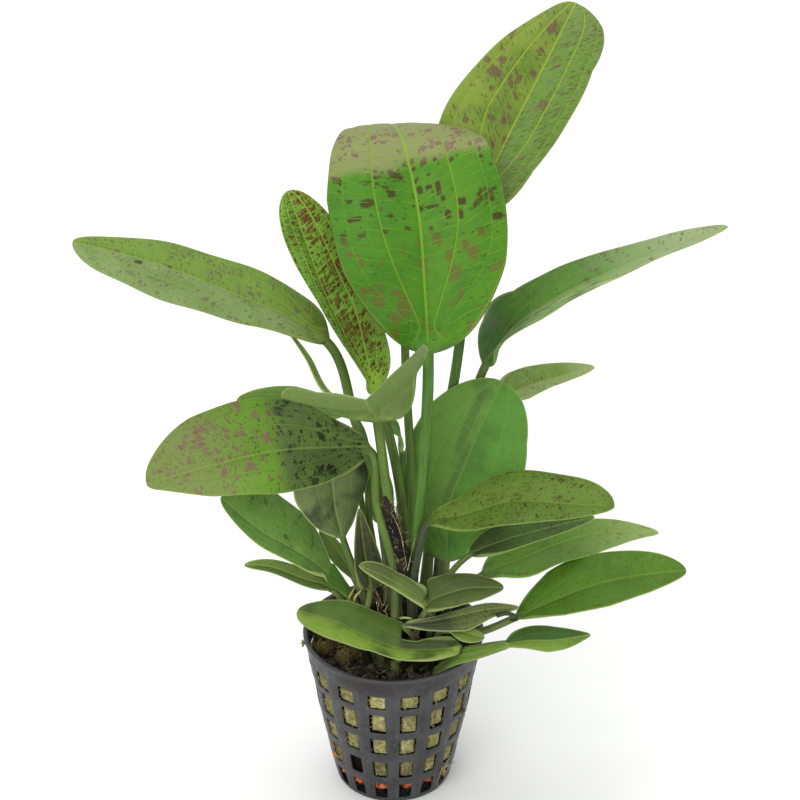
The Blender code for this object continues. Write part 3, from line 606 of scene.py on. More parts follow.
def smooth_route(points, stations):
    """Points and directions on a smooth curve through the points, at stations from 0 to 1."""
    points = np.array(points, dtype=float)
    steps = np.linalg.norm(np.diff(points, axis=0), axis=1)
    knots = np.concatenate(([0.0], np.cumsum(steps))) / steps.sum()
    chords = np.diff(points, axis=0) / np.diff(knots)[:, None]
    slopes = np.vstack((chords[:1], chords))
    for i in range(1, len(points) - 1):
        weight = (knots[i + 1] - knots[i]) / (knots[i + 1] - knots[i - 1])
        slopes[i] = chords[i - 1] * weight + chords[i] * (1 - weight)
    t = np.asarray(stations, float)
    i = np.clip(np.searchsorted(knots, t) - 1, 0, len(points) - 2)
    h = (knots[i + 1] - knots[i])[:, None]
    s = (t[:, None] - knots[i][:, None]) / h
    places = (
        (2 * s**3 - 3 * s**2 + 1) * points[i]
        + (s**3 - 2 * s**2 + s) * h * slopes[i]
        + (3 * s**2 - 2 * s**3) * points[i + 1]
        + (s**3 - s**2) * h * slopes[i + 1]
    )
    directions = (
        (6 * s**2 - 6 * s) / h * (points[i] - points[i + 1])
        + (3 * s**2 - 4 * s + 1) * slopes[i]
        + (3 * s**2 - 2 * s) * slopes[i + 1]
    )
    return places, directions / np.linalg.norm(directions, axis=1)[:, None]


def ripple(*values):
    """A smooth repeatable unevenness between -1 and 1."""
    total = 0
    for number, value in enumerate(values):
        total = total + np.sin(np.asarray(value) * (1.0 + 0.37 * number) + 1.3 * number)
        total = total + 0.5 * np.sin(np.asarray(value) * (2.3 + 0.21 * number) + 2.1)
    return total / (1.5 * len(values))


# Leaves


def ground_height(x, y):
    """Height of the crown, or of the soil beside it."""
    reach = math.hypot(x - CROWN_CENTRE[0], y - CROWN_CENTRE[1]) / CROWN_RADIUS
    return SOIL_TOP if reach > 1 else CROWN_TOP - CROWN_DROP * reach**2


def leaf_columns(veins, fine):
    """Places across one half of a blade, from the rib (0) to the edge (1), close by the veins."""
    places = set(np.round(np.linspace(0, 1, fine + 1), 4))
    if fine > 8:
        for vein in veins:
            places = {p for p in places if abs(p - vein) > 0.025}
            places |= {round(vein + gap, 4) for gap in (-VEIN_COLUMN, 0, VEIN_COLUMN)}
    return np.array(sorted(places | {0.02, 0.985, 1.0}))


def half_width(shape, t, jump=None):
    """Width of one half of a blade at t, round at both ends.

    With a jump, the width steps up within that range instead of growing slowly.
    """
    full = float(np.interp(t, SHAPE_KNOTS, shape))
    if jump and SHAPE_KNOTS[1] < t < SHAPE_KNOTS[2]:
        full = shape[1] + (shape[2] - shape[1]) * float(smoothstep(t, *jump))
    return full * 2 * math.sqrt(max(t * (1 - t), 0))


def vein_reach(veins, shape, t, width):
    """Where the veins lie across a half at t; they leave the rib in smooth curves."""
    places = []
    for vein, spread in zip(veins, VEIN_SPREAD):
        place = vein
        if t < spread:
            full = vein * half_width(shape, spread)
            place = min(full * math.sin(math.pi / 2 * t / spread) ** 1.4 / max(width, 0.1), vein)
        places.append(max(place, (places[-1] if places else 0) + 0.05))
    return places


def leaf_route(form, jump):
    """Places, directions and stations along a leaf, its blade's first station and its stalk's length."""
    foot = np.array((*form.foot, ground_height(*form.foot) + FOOT_CLEARANCE))
    route = np.array((foot, *form.stalk, *form.rib), dtype=float)
    steps = np.linalg.norm(np.diff(route, axis=0), axis=1)
    blade_length = steps[len(form.stalk) + 1 :].sum()
    stalk_length = steps[: len(form.stalk) + 1].sum()
    blade_start = stalk_length / steps.sum()
    stalk_count = int(max(10, stalk_length / STALK_STEP))
    blade_count = int(max(24, blade_length / BLADE_STEP))
    blade_t = (1 - np.cos(np.pi * np.arange(blade_count + 1) / blade_count)) / 2
    if jump:
        blade_t = np.unique(np.concatenate((blade_t, np.linspace(*jump, 9))))
    stalk_stations = blade_start * np.arange(stalk_count) / stalk_count
    stations = np.concatenate((stalk_stations, blade_start + (1 - blade_start) * blade_t))
    places, directions = smooth_route(route, stations)
    # The first section stands below the foot, inside the crown
    places = np.vstack((foot - (0, 0, FOOT_SINK), places))
    directions = np.vstack((directions[:1], directions))
    return places, directions, np.concatenate(([-0.02], stations)), blade_start, stalk_length


def leaf_ring(columns):
    """The way round a section: left edge, over the top to the right edge, and back below.

    Gives each point's column, its side (1 left, -1 right) and its skin (1 above, -1 below).
    """
    count = len(columns) - 1
    over, back = np.arange(1, count + 1), np.arange(1, count)
    order = np.concatenate((np.arange(count, -1, -1), over, np.arange(count - 1, -1, -1), back))
    sign = np.repeat((1.0, -1.0, -1.0, 1.0), (count + 1, count, count, count - 1))
    return order, sign, np.repeat((1.0, -1.0), (2 * count + 1, 2 * count - 1))


def stalk_section(aside, skin, radius, reach, wing):
    """Across and up in the stalk's round section, which a wing widens and lifts at its edges."""
    angle = np.pi / 2 * aside
    z = radius * np.cos(angle) * skin * math.sqrt(radius / (radius + wing))
    return reach * np.sin(angle), z + WING_LIFT * wing * np.sin(angle) ** 2


def blade_section(look, u, gaps, skin, t, width, radius, fold, wave):
    """Across and up in one half of the blade: fold, bulge, wave, vein grooves, and the rib below."""
    across = u * width * math.cos(fold)
    bulge = look["camber"] * width * 4 * u * (1 - u)
    depth = VEIN_DEPTH * look["relief"] * min(width / WIDE_LEAF, 1) * float(smoothstep(t, 0.04, 0.2))
    groove = depth * np.exp(-((gaps / VEIN_GROOVE) ** 2))
    thick = SKIN * (1 - 0.6 * u**4) * (1 - 0.5 * t)
    above = thick - RIB_DEPTH * np.exp(-((across / RIB_GROOVE) ** 2)) * (1 - t)
    below = -thick - np.sqrt(np.clip((radius * 0.95) ** 2 - across**2, 0, None))
    body = np.where(u > 0.999, 0.0, np.where(skin > 0, above, below))
    return across, u * width * math.sin(fold) + bulge + wave * u**2 - groove + body


def edge_wave(width, t, turn):
    """How far the blade's edge waves up or down, less at both ends of the blade."""
    share = float(smoothstep(t, 0.02, 0.2) * (1 - smoothstep(t, 0.9, 1.0)))
    return WAVE * min(width / 12, 1.3) * math.sin(turn) * share


def fine_leaf(name, form, look, number):
    """One leaf as a closed fine skin: stalk, rib, blade, vein grooves and waved edges."""
    jump_side, jump_range = look["jump"] or (None, None)
    places, directions, stations, blade_start, stalk_length = leaf_route(form, jump_range)
    left = np.array(form.across, float)[None] - directions * (directions @ form.across)[:, None]
    left /= np.linalg.norm(left, axis=1)[:, None]
    up = np.cross(directions, left)
    widest = max(*form.left, *form.right)
    veins = VEINS_WIDE if widest > WIDE_LEAF else VEINS_SMALL
    columns = leaf_columns(veins, 20 if widest > WIDE_LEAF else 10 if widest > 5 else 6)
    order, sign, top = leaf_ring(columns)
    ring = len(order)
    w = columns[order] * sign
    foot_radius, top_radius = form.radius
    base_folds = np.radians(form.fold[:2])
    tip_folds = np.radians(form.fold[-2:])
    points, marks, spots, vein_gaps = [], [], [], []
    length = 0.0
    for k in range(len(places) - 1):
        if k:
            length += float(np.linalg.norm(places[k] - places[k - 1]))
        on_stalk = stations[k] < blade_start
        t = 0.0 if on_stalk else (stations[k] - blade_start) / (1 - blade_start)
        share = min(max(stations[k] / blade_start, 0), 1)
        flare = SHEATH_FLARE * foot_radius * (1 - smoothstep(share, 0.0, SHEATH_END))
        radius = foot_radius + (top_radius - foot_radius) * share + flare
        if not on_stalk:
            radius = top_radius * (1 - RIB_TAPER * t)
        flat = 0.0 if on_stalk else smoothstep(t, 0.0, FLAT_FROM)
        wing = float(np.interp(share, *zip(*look["wing"]))) if look["wing"] else 0.0
        x, z, vein_gap, widths = np.empty((4, ring))
        for row, (side, mark) in enumerate((("left", 1), ("right", -1))):
            shape = getattr(form, side)
            width = radius
            if not on_stalk:
                jump = jump_range if side == jump_side else None
                width = max(half_width(shape, t, jump), radius + wing * (1 - t / WING_END))
            chosen = sign == mark
            skin = top[chosen]
            fold = base_folds[row] + (tip_folds[row] - base_folds[row]) * t
            lines = vein_reach(veins, shape, t, width)
            u = np.interp(columns, (0.0, *veins, 1.0), (0.0, *lines, 1.0))[order][chosen]
            gaps = np.min(np.abs(u[:, None] - np.array(lines)[None]), axis=1) * width
            wave = edge_wave(width, t, length / WAVE_LENGTH + 1.7 * number + row * 2.1)
            reach = radius + wing if on_stalk else width
            round_x, round_z = stalk_section(np.abs(w[chosen]), skin, radius, reach, wing)
            flat_x, flat_z = blade_section(look, u, gaps, skin, t, width, radius, fold, wave)
            x[chosen] = ((1 - flat) * round_x + flat * flat_x) * mark
            z[chosen] = (1 - flat) * round_z + flat * flat_z
            vein_gap[chosen] = gaps
            widths[chosen] = width
        points.append(places[k] + x[:, None] * left[k] + z[:, None] * up[k])
        # On the stalk t is negative: the distance to the blade, in decimetres
        signed_t = -(1 - share) * stalk_length / 100 - 1e-4 if on_stalk else t
        marks.append(np.stack((w, np.full(ring, signed_t), widths), 1))
        spots.append(np.stack((x, np.full(ring, length), (1 - top) / 2), 1))
        vein_gaps.append(np.stack((vein_gap, np.zeros(ring), np.zeros(ring)), 1))
    rings = len(points)
    last = (rings - 1) * ring
    faces = tube_faces(rings, ring)[:-1]
    faces += [(last + k, last + (k + 1) % ring, last + ring) for k in range(ring)]
    points = np.vstack((*points, places[-1]))
    tip = {"leaf_mark": (0.0, 1.0, 0.5), "leaf_place": (0.0, length, 0.5), "leaf_vein": (0.0, 0.0, 0.0)}
    rows = zip(tip, (marks, spots, vein_gaps))
    attributes = {key: np.vstack((*values, tip[key])) for key, values in rows}
    material = leaf_material("surface_" + name, look, veins)
    obj = add_piece("foliage_" + name, points, faces, material, "leaf_green", attributes=attributes)
    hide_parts("leaf_" + name)


def tone(colour, tint=(1, 1, 1)):
    """A colour given as 0 to 255 values, as a plain node input."""
    return (*(min(value * part, 0.95) for value, part in zip(srgb(*colour), tint)), 1.0)


def either(is_left, pair):
    """A number that a look gives once for each half of the blade."""
    return is_left * (pair[0] - pair[1]) + pair[1]


def leaf_flecks(g, look, x, along, is_left, patches, grain):
    """Cover by small narrow flecks that lie across the leaf."""
    wide, tall = look["fleck_size"]
    distance, dice = g.cells(g.vector(x / wide + grain * 0.9, along / tall + grain * 0.9), 0.9)
    density = either(is_left, look["flecks"]) * g.step(patches, 0.35, 0.62, 0.5, 1.5)
    chosen = g.step(density - dice[0], -0.01, 0.01)
    radius = dice[1] * 0.24 + 0.16
    return chosen * g.step(distance - radius, -0.12, 0.06, 1, 0)


def leaf_marks(g, look, x, length, mottle, grain):
    """Cover by the single blotches that a look places, or by a painted shadow where a look's marks stand
    for one: across, along, half width, half length.
    """
    uneven = (mottle - 0.5) * 1.2 + (grain - 0.5) * 0.9
    cover = 0.0
    for across, along, wide, tall in look["marks"]:
        gap_x = abs((x - across) / wide)
        gap_y = abs((length - along) / tall)
        gap = g.highest(gap_x, gap_y) + g.math("MINIMUM", gap_x, gap_y) * 0.18
        cover = g.highest(cover, g.step(gap + uneven, 0.86, 1.12, 1, 0))
    return cover


def leaf_blotches(g, look, x, along, is_left, t, patches, mottle, grain):
    """Cover by blotches: square-sided patches of three sizes."""
    wide, tall = look["spot_size"]
    low, high = look["spot_range"]
    density = either(is_left, look["spots"]) * g.step(t, low, low + 0.1, 0.3)
    density = density * g.step(t, high, high + 0.12, 1, 0.2) * g.step(patches, 0.36, 0.62, 0.35, 1.7)
    cover = 0.0
    for shift, size, share in ((0.0, 1.0, 1.0), (31.4, 0.52, 0.8), (67.1, 0.27, 0.55)):
        spread_x = x / (wide * size) + ((mottle - 0.5) * 0.7 + shift)
        spread_y = along / (tall * size) + (grain - 0.5) * 0.7
        distance, dice = g.cells(g.vector(spread_x, spread_y), 0.55)
        chosen = g.step(density * share - dice[0], -0.01, 0.01)
        radius = dice[1] * 0.26 + 0.24
        cover = g.highest(cover, chosen * g.step(distance - radius, -0.09, 0.04, 1, 0))
    return cover


def stalk_colour(g, look, w, x, length, mottle, shift):
    """Colour of the stalk: paler below, streaked, scuffed, with patches of painted shade, and dark at its
    foot with mud and painted shade.
    """
    bright = g.mix(g.step(length, 14.0, 48.0), tone(look["stem_low"]), tone(look["stem"]))
    dull = g.mix(1.0, bright, (0.7, 0.68, 0.66, 1), "MULTIPLY")
    streaks = g.noise(g.vector(w * 5.0, length * 0.06, shift), 1.6, 3.0)
    colour = g.mix(g.step(streaks, 0.35, 0.65), dull, bright)
    # Painted shade in patches, where the stalks crowd together
    shade_patches = g.noise(g.vector(w * 0.6, length * 0.045, shift), 1.0, 2.0)
    colour = g.mix(g.step(shade_patches, 0.5, 0.66, 0, 0.4), colour, tone(STALK_PAINTED_SHADE))
    scuff = g.step(g.noise(g.vector(x, length * 0.5, shift), 0.9, 3.0, 0.6), 0.56, 0.7, 0, 0.3)
    colour = g.mix(scuff, colour, g.mix(1.0, bright, (0.5, 0.42, 0.42, 1), "MULTIPLY"))
    # Mud and painted shade at the stalk's foot; the look's mud says how much
    mud = g.step(length + mottle * 9.0, MUD_AND_SHADE_FROM, MUD_AND_SHADE_TO, look["mud"], 0)
    return g.mix(mud, colour, tone(STALK_MUD_AND_SHADE))


def leaf_ladder(g, look, veins, place, aside, across, length, mottle):
    """How far along the leaf a point is for its cross veins, and the cover by cross veins.

    The cross veins are stepped from strip to strip between the lengthwise ones.
    """
    strips = [g.step(aside, vein - 0.004, vein + 0.004) for vein in veins]
    gap = look["cross_gap"]
    along = length - across * look["slant"] + (strips[0] + strips[1]) * 0.95
    along = along + ((g.noise(place, 0.07, 1.0) - 0.5) * 5.0 + (mottle - 0.5) * 0.8)
    cross = g.step(abs(g.math("FRACT", along / gap) - 0.5) * gap, 0.05, 0.24, 1, 0)
    return along, cross * g.step(g.noise(place, 0.3, 1.0), 0.38, 0.55, 0.25, 1.0)


def leaf_lines(g, look, veins, t, aside, across, vein_gap):
    """Cover by the lengthwise veins and by the rib."""
    vein = g.step(vein_gap, 0.07, 0.34, 1, 0) * g.step(t, 0.01, 0.07)
    vein = vein * g.step(aside, veins[0] + 0.1, veins[0] + 0.16, 1, look["outer_share"])
    vein = vein * g.step(t, *look["rib_from"], 0.3, 1)
    rib_edge = 0.5 * look["rib_width"]
    rib = g.step(across, rib_edge - 0.34, rib_edge, 1, 0)
    return vein, rib * g.step(t, *look["rib_from"], 0.25, 1)


def leaf_material(name, look, veins):
    """Leaf skin: veins, ladder of cross veins, blotches, sheen, edge, underside and stalk."""
    g = Graph(name)
    w, t, width = g.attribute("leaf_mark")
    x, length, under = g.attribute("leaf_place")
    vein_gap = g.attribute("leaf_vein")[0]
    # Each leaf gets its own part of the patterns
    shift = sum(map(ord, name)) % 97
    place = g.vector(x, length, shift * 3.7)
    patches = g.noise(place, 0.085, 2.0)
    mottle = g.noise(place, 0.55, 3.0, 0.6)
    grain = g.noise(place, 2.6, 2.0, 0.6)
    across, aside = abs(x), abs(w)
    is_left = g.step(w, -0.015, 0.015)
    along, cross = leaf_ladder(g, look, veins, place, aside, across, length, mottle)
    vein, rib = leaf_lines(g, look, veins, t, aside, across, vein_gap + (grain - 0.5) * 0.12)

    def shade(key):
        return tone(look[key], look["tint"])

    colour = g.mix(is_left, shade("right"), shade("left"))
    # The base colour covers the blade from its base up to base_to. On front_left, right_shaded and
    # spotted_left it is painted shade.
    if look["base"]:
        share = g.step(t, *look["base_to"], 1, 0)
        if look["base_side"] == "right":
            share = share * (1.0 - is_left)
        colour = g.mix(share, colour, shade("base"))
    depth = g.step(patches, 0.42, 0.68) * look["patch"] + (mottle - 0.45) * 0.7
    colour = g.mix(g.highest(depth, 0.0), colour, shade("deep"))
    spot = shade("spot")
    if look["spot_low"]:
        spot = g.mix(g.step(t, *look["spot_low_to"]), shade("spot_low"), spot)
    # Painted sheen: toward the tip the blade is mixed to a pale colour. This is mostly the reflection where
    # the blade turns away towards the light, and partly the blade's own paler tone. Flecks and spots show
    # less through it.
    fleck_through_sheen = 1.0
    if look["tip"]:
        low, high = look["tip_from"]
        uneven = t + (patches - 0.5) * (0.3 * (high - low) + 0.06)
        share = g.step(uneven, low, high) * look["tip_share"]
        colour = g.mix(share, colour, shade("tip"))
        if look["spot_in_sheen"]:
            spot = g.mix(share, spot, shade("spot_in_sheen"))
            fleck_through_sheen = 1.0 - share * 0.7
    clear = g.step(g.highest(vein, cross * 0.7), 0.1, 0.9, 1.0, 0.25)
    if any(look["flecks"]):
        fleck = leaf_flecks(g, look, x, along, is_left, patches, grain) * clear
        colour = g.mix(fleck * 0.8 * fleck_through_sheen, colour, shade("fleck"))
    if any(look["spots"]):
        blot = leaf_blotches(g, look, x, along, is_left, t, patches, mottle, grain)
        colour = g.mix(blot * clear * g.step(mottle, 0.3, 0.62, 0.6, 0.95), colour, spot)
    if look["marks"]:
        mark = leaf_marks(g, look, x, length, mottle, grain) * clear
        colour = g.mix(mark * look["mark_share"], colour, shade("mark") if look["mark"] else spot)
    if any(look["glints"]):
        stretch = (1.3, 0.1) if look["glint_along"] else (0.35, 1.1)
        streak = g.noise(g.vector(x * stretch[0], along * stretch[1], shift), 1.0, 2.0, 0.6)
        amount = g.step(streak, 0.46, 0.62) * g.step(patches, 0.3, 0.6, 0.5, 1.0)
        colour = g.mix(amount * either(is_left, look["glints"]), colour, shade("glint"))
    for cover, key in ((cross, "cross_share"), (vein, "vein_share"), (rib, "rib_share")):
        colour = g.mix(cover * look[key], colour, shade("vein"))

    below = g.mix(g.step(mottle, 0.35, 0.65), shade("under"), shade("left"))
    below = g.mix(g.highest(vein, rib) * 0.3, below, shade("vein"))
    colour = g.mix(g.step(under, 0.35, 0.65), colour, below)
    edge = g.step((1.0 - aside) * width, look["edge_width"] * 0.4, look["edge_width"] * 1.3, 1, 0)
    colour = g.mix(edge * look["edge_share"], colour, shade("edge"))
    stalk = stalk_colour(g, look, w, x, length, mottle, shift)
    colour = g.mix(g.step(t, -0.01, 0.05), stalk, colour)
    relief = mottle * 0.5 - (cross * 0.5 + vein * 0.7) + grain * 0.15
    return g.finish(
        colour, g.step(mottle, 0.3, 0.7, 0.4, 0.55), 0.15, relief, 0.15 + 0.45 * look["relief"], 0.00028
    )



# Net pot and filling


def wall_radius(height):
    """Outer radius of the pot's wall at a height."""
    return np.interp(height, PROFILE_HEIGHTS, PROFILE_RADII)


def column_middle(column):
    """Angle of the middle of a column of holes; the first is just right of the front."""
    return COLUMN_ANGLE * (column + 0.5) - math.pi / 2


def pot_material():
    g = Graph("surface_pot")
    arc, height, edge = g.attribute("pot_place")
    place = g.place()
    cloud = g.noise(place, 100.0, 3.0)
    fleck = g.noise(place, 1300.0, 4.0, 0.7)
    dust = g.noise(place, 420.0, 4.0, 0.65)
    mud = g.noise(place, 230.0, 3.0, 0.6)
    film = g.noise(place, 160.0, 3.0, 0.6)
    colour = g.mix(g.step(cloud, 0.35, 0.7), srgb(35, 35, 37), srgb(58, 54, 58))
    colour = g.mix(g.step(film, 0.46, 0.66, 0, 0.6), colour, srgb(60, 66, 60))
    colour = g.mix(g.step(dust, 0.5, 0.72, 0, 0.35), colour, srgb(78, 79, 78))
    colour = g.mix(g.step(mud, 0.56, 0.72, 0, 0.5), colour, srgb(46, 38, 36))
    smear = g.step(abs((arc - MUD_ARC) / MUD_REACH) + dust * 1.2, 1.2, 1.7, 1, 0)
    colour = g.mix(smear * g.step(height, 44.5, 46.5, 0, 0.8), colour, srgb(26, 20, 19))
    colour = g.mix(g.step(fleck, 0.63, 0.72, 0, 0.7), colour, srgb(150, 148, 140))
    colour = g.mix(edge * 0.22, colour, srgb(92, 92, 92))
    return g.finish(colour, g.step(dust, 0.3, 0.7, 0.36, 0.6), 0.42, fleck * 0.5 + dust, 0.5, 0.0002)


SIDE_STEPS = (-1.0, -0.94, -0.82, -0.4, 0.4, 0.82, 0.94)


def square_walk():
    """Points round a square from -1 to 1, from the lower left corner, lower side first."""
    walk = [(s, -1.0) for s in SIDE_STEPS]
    walk += [(1.0, s) for s in SIDE_STEPS]
    walk += [(-s, 1.0) for s in SIDE_STEPS]
    walk += [(-1.0, -s) for s in SIDE_STEPS]
    return np.array(walk)


def rounded(walk, wide, tall, corner):
    """The same walk round a rectangle of these half sizes, with round corners."""
    p = walk * (wide, tall)
    q = np.clip(p, (corner - wide, corner - tall), (wide - corner, tall - corner))
    size = np.linalg.norm(p - q, axis=1)
    return q + (p - q) / np.maximum(size, 1e-9)[:, None] * corner


# Rings round a hole, from the outside in: depth, growth beyond the hole, paleness of the edge.
# A ring without a growth lies on the borders of the hole's cell.
HOLE_RINGS = (
    (0, None, 0), (0, 0.16, 0.4), (0.14, 0.0, 1),
    (SHELL - 0.15, 0.0, 0.3), (SHELL, 0.15, 0), (SHELL, None, 0),
)
HOLE_CORNER = 0.5
CELLS_BOTTOM = 0.9
CELLS_TOP = 47.6
# Angles of the points of a hoop right round the pot
HOOP = np.array([column_middle(n) + s * COLUMN_ANGLE / 2 for n in range(HOLE_COLUMNS) for s in SIDE_STEPS])
# The floor has one slot for every two columns of holes, between these points of a hoop
SLOT_PERIOD = 2 * len(SIDE_STEPS)
SLOT_POINTS = (2, 3, 4)


class Shell:
    """Rings of points round the pot or round its holes, and the bands of faces between them."""

    def __init__(self):
        self.points, self.marks, self.faces = [], [], []

    def ring(self, angles, heights, reach, edge):
        """Adds a ring and gives its first point's number; edge is how much paler it is."""
        start = len(self.points)
        reach = reach + 0.1 * ripple(angles * 3, heights * 0.15 + angles)
        self.points.extend(zip(reach * np.cos(angles), reach * np.sin(angles), heights))
        self.marks.extend((angle * ARC_RADIUS, height, edge) for angle, height in zip(angles, heights))
        return start

    def hoops(self, *rows):
        """Rings right round the pot, from height, radius and paleness of the edge."""
        return [self.ring(HOOP, np.full(len(HOOP), height), radius, edge) for height, radius, edge in rows]

    def band(self, one, two, count, skip=()):
        for k in range(count):
            if k % SLOT_PERIOD not in skip:
                after = (k + 1) % count
                self.faces.append((one + k, one + after, two + after, two + k))


def add_holes(shell):
    """The wall: a cell round each hole, with the hole's worn and slightly uneven edge."""
    rng = np.random.default_rng(11)
    walk = square_walk()
    between = ((one[1] + two[0]) / 2 for one, two in zip(HOLE_ROWS, HOLE_ROWS[1:]))
    borders = (CELLS_BOTTOM, *between, CELLS_TOP)
    for column in range(HOLE_COLUMNS):
        middle = column_middle(column)
        for (low, high, width), cell_low, cell_high in zip(HOLE_ROWS, borders, borders[1:]):
            centre = (low + high) / 2
            wide = width / 2 + rng.uniform(-0.05, 0.2)
            tall = (high - low) / 2 + rng.uniform(-0.1, 0.15)
            nudge = rng.uniform(-0.15, 0.15, 2)
            rings = []
            for inward, grow, edge in HOLE_RINGS:
                if grow is None:
                    angles = middle + walk[:, 0] * COLUMN_ANGLE / 2
                    heights = cell_low + (walk[:, 1] + 1) / 2 * (cell_high - cell_low)
                else:
                    shape = rounded(walk, wide + grow, tall + grow, HOLE_CORNER + grow) + nudge
                    angles = middle + shape[:, 0] / wall_radius(centre)
                    heights = centre + shape[:, 1]
                rings.append(shell.ring(angles, heights, wall_radius(heights) - inward, edge))
            for one, two in zip(rings, rings[1:]):
                shell.band(one, two, len(walk))


def add_lip(shell):
    """The rolled rim, from the wall's outside over the top to its inside."""
    lip = shell.hoops(
        (CELLS_TOP, wall_radius(CELLS_TOP), 0), (49.2, wall_radius(49.2), 0), (50.5, 26.85, 0),
        (50.9, 27.05, 0.4), (51.05, 27.45, 1), (51.5, RIM_RADIUS, 1), (51.9, 27.35, 1),
        (RIM_HEIGHT, 27.05, 0.8), (51.95, 26.5, 0.5), (51.6, 26.2, 0.2), (50.0, 25.7, 0),
        (CELLS_TOP, wall_radius(CELLS_TOP) - SHELL, 0),
    )
    for one, two in zip(lip, lip[1:]):
        shell.band(one, two, len(HOOP))


def add_bottom(shell):
    """The floor with its ring of slots, joined to the wall by a round foot."""
    under = shell.hoops(
        (0.0, SLOT_INNER, 0), (0.0, SLOT_OUTER, 0), (0.0, 16.6, 0), (0.25, 17.2, 0.6),
        (CELLS_BOTTOM, wall_radius(CELLS_BOTTOM), 0),
    )
    inside = shell.hoops(
        (FLOOR, SLOT_INNER, 0), (FLOOR, SLOT_OUTER, 0), (FLOOR - 0.1, wall_radius(FLOOR) - WALL - 0.6, 0),
        (CELLS_BOTTOM, wall_radius(CELLS_BOTTOM) - SHELL, 0),
    )
    for row, (one, two) in enumerate(zip(under, under[1:])):
        shell.band(one, two, len(HOOP), () if row else SLOT_POINTS)
    for row, (one, two) in enumerate(zip(inside, inside[1:])):
        shell.band(two, one, len(HOOP), () if row else SLOT_POINTS)
    for start in range(0, len(HOOP), SLOT_PERIOD):
        sides = [(hoop, hoop, start + k, start + k + 1) for hoop in (0, 1) for k in SLOT_POINTS]
        sides += [(0, 1, start + k, start + k) for k in (SLOT_POINTS[0], SLOT_POINTS[-1] + 1)]
        for one, two, a, b in sides:
            shell.faces.append((under[one] + a, under[two] + b, inside[two] + b, inside[one] + a))
    shell.faces.append(tuple(under[0] + k for k in reversed(range(len(HOOP)))))
    shell.faces.append(tuple(inside[0] + k for k in range(len(HOOP))))


def add_pot():
    """The net pot's wall with soft-edged holes, its lip and its slotted floor."""
    shell = Shell()
    for add_part in (add_holes, add_lip, add_bottom):
        add_part(shell)
    marks = {"pot_place": shell.marks}
    obj = add_piece("pot_shell", shell.points, shell.faces, pot_material(), "pot_plastic", attributes=marks)
    weld(obj)
    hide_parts("net_pot")


def weld(obj, reach=2e-6):
    """Joins points that lie together and turns the faces outwards."""
    work = bmesh.new()
    work.from_mesh(obj.data)
    bmesh.ops.remove_doubles(work, verts=work.verts, dist=reach)
    bmesh.ops.recalc_face_normals(work, faces=work.faces)
    work.to_mesh(obj.data)
    work.free()


def wool_material(name, light, dark, deep, tinted_and_shaded=False):
    g = Graph(name)
    place = g.place()
    cloud = g.noise(place, 190.0, 3.0)
    fibre = g.noise(place, 900.0, 4.0, 0.7, 1.2)
    speck = g.noise(place, 420.0, 2.0)
    colour = g.mix(g.step(cloud, 0.35, 0.65), srgb(*dark), srgb(*light))
    colour = g.mix(g.step(fibre, 0.5, 0.7, 0, 0.6), colour, srgb(*deep))
    colour = g.mix(g.step(speck, 0.66, 0.72, 0, 0.7), colour, srgb(58, 44, 30))
    if tinted_and_shaded:
        tuft = g.noise(place, 620.0, 3.0, 0.65)
        colour = g.mix(g.step(tuft, 0.5, 0.64, 0, 0.75), colour, srgb(118, 116, 70))
        tuft = g.noise(place, 790.0, 2.0, 0.6, 0.6)
        colour = g.mix(g.step(tuft, 0.56, 0.66, 0, 0.8), colour, srgb(228, 222, 172))
        # The wool is darker in some holes. In black holes, and in the gaps along the holes' edges where it
        # sits back from the wall, it is painted near black as shade.
        shade, green, gap_shade = g.attribute("wool_tone_and_shade")
        colour = g.mix(green * 0.75, colour, srgb(112, 118, 74))
        colour = g.mix(shade, colour, srgb(40, 36, 24))
        colour = g.mix(gap_shade, colour, srgb(16, 15, 12))
    return g.finish(colour, 0.95, 0.15, fibre + cloud, 1.0, 0.0012)


# How dark the wool is painted in some holes, by row from below and column: 1 is black, painted shade where
# the hole shows only its dark inside
HOLE_SHADES = {
    (1, 13): 0.45, (1, 14): 1.0, (1, 15): 0.36, (1, 0): 0.5, (1, 1): 0.3,
    (2, 13): 0.3, (2, 14): 0.2, (2, 15): 0.12, (2, 0): 0.04, (2, 1): 0.16,
    (3, 13): 0.34, (3, 14): 0.08, (3, 15): 0.0, (3, 0): 0.16, (3, 1): 0.16,
    (4, 13): 0.3, (4, 14): 0.24, (4, 15): 0.06, (4, 0): 0.0, (4, 1): 0.26,
}
BLACK_HOLE = 0.9


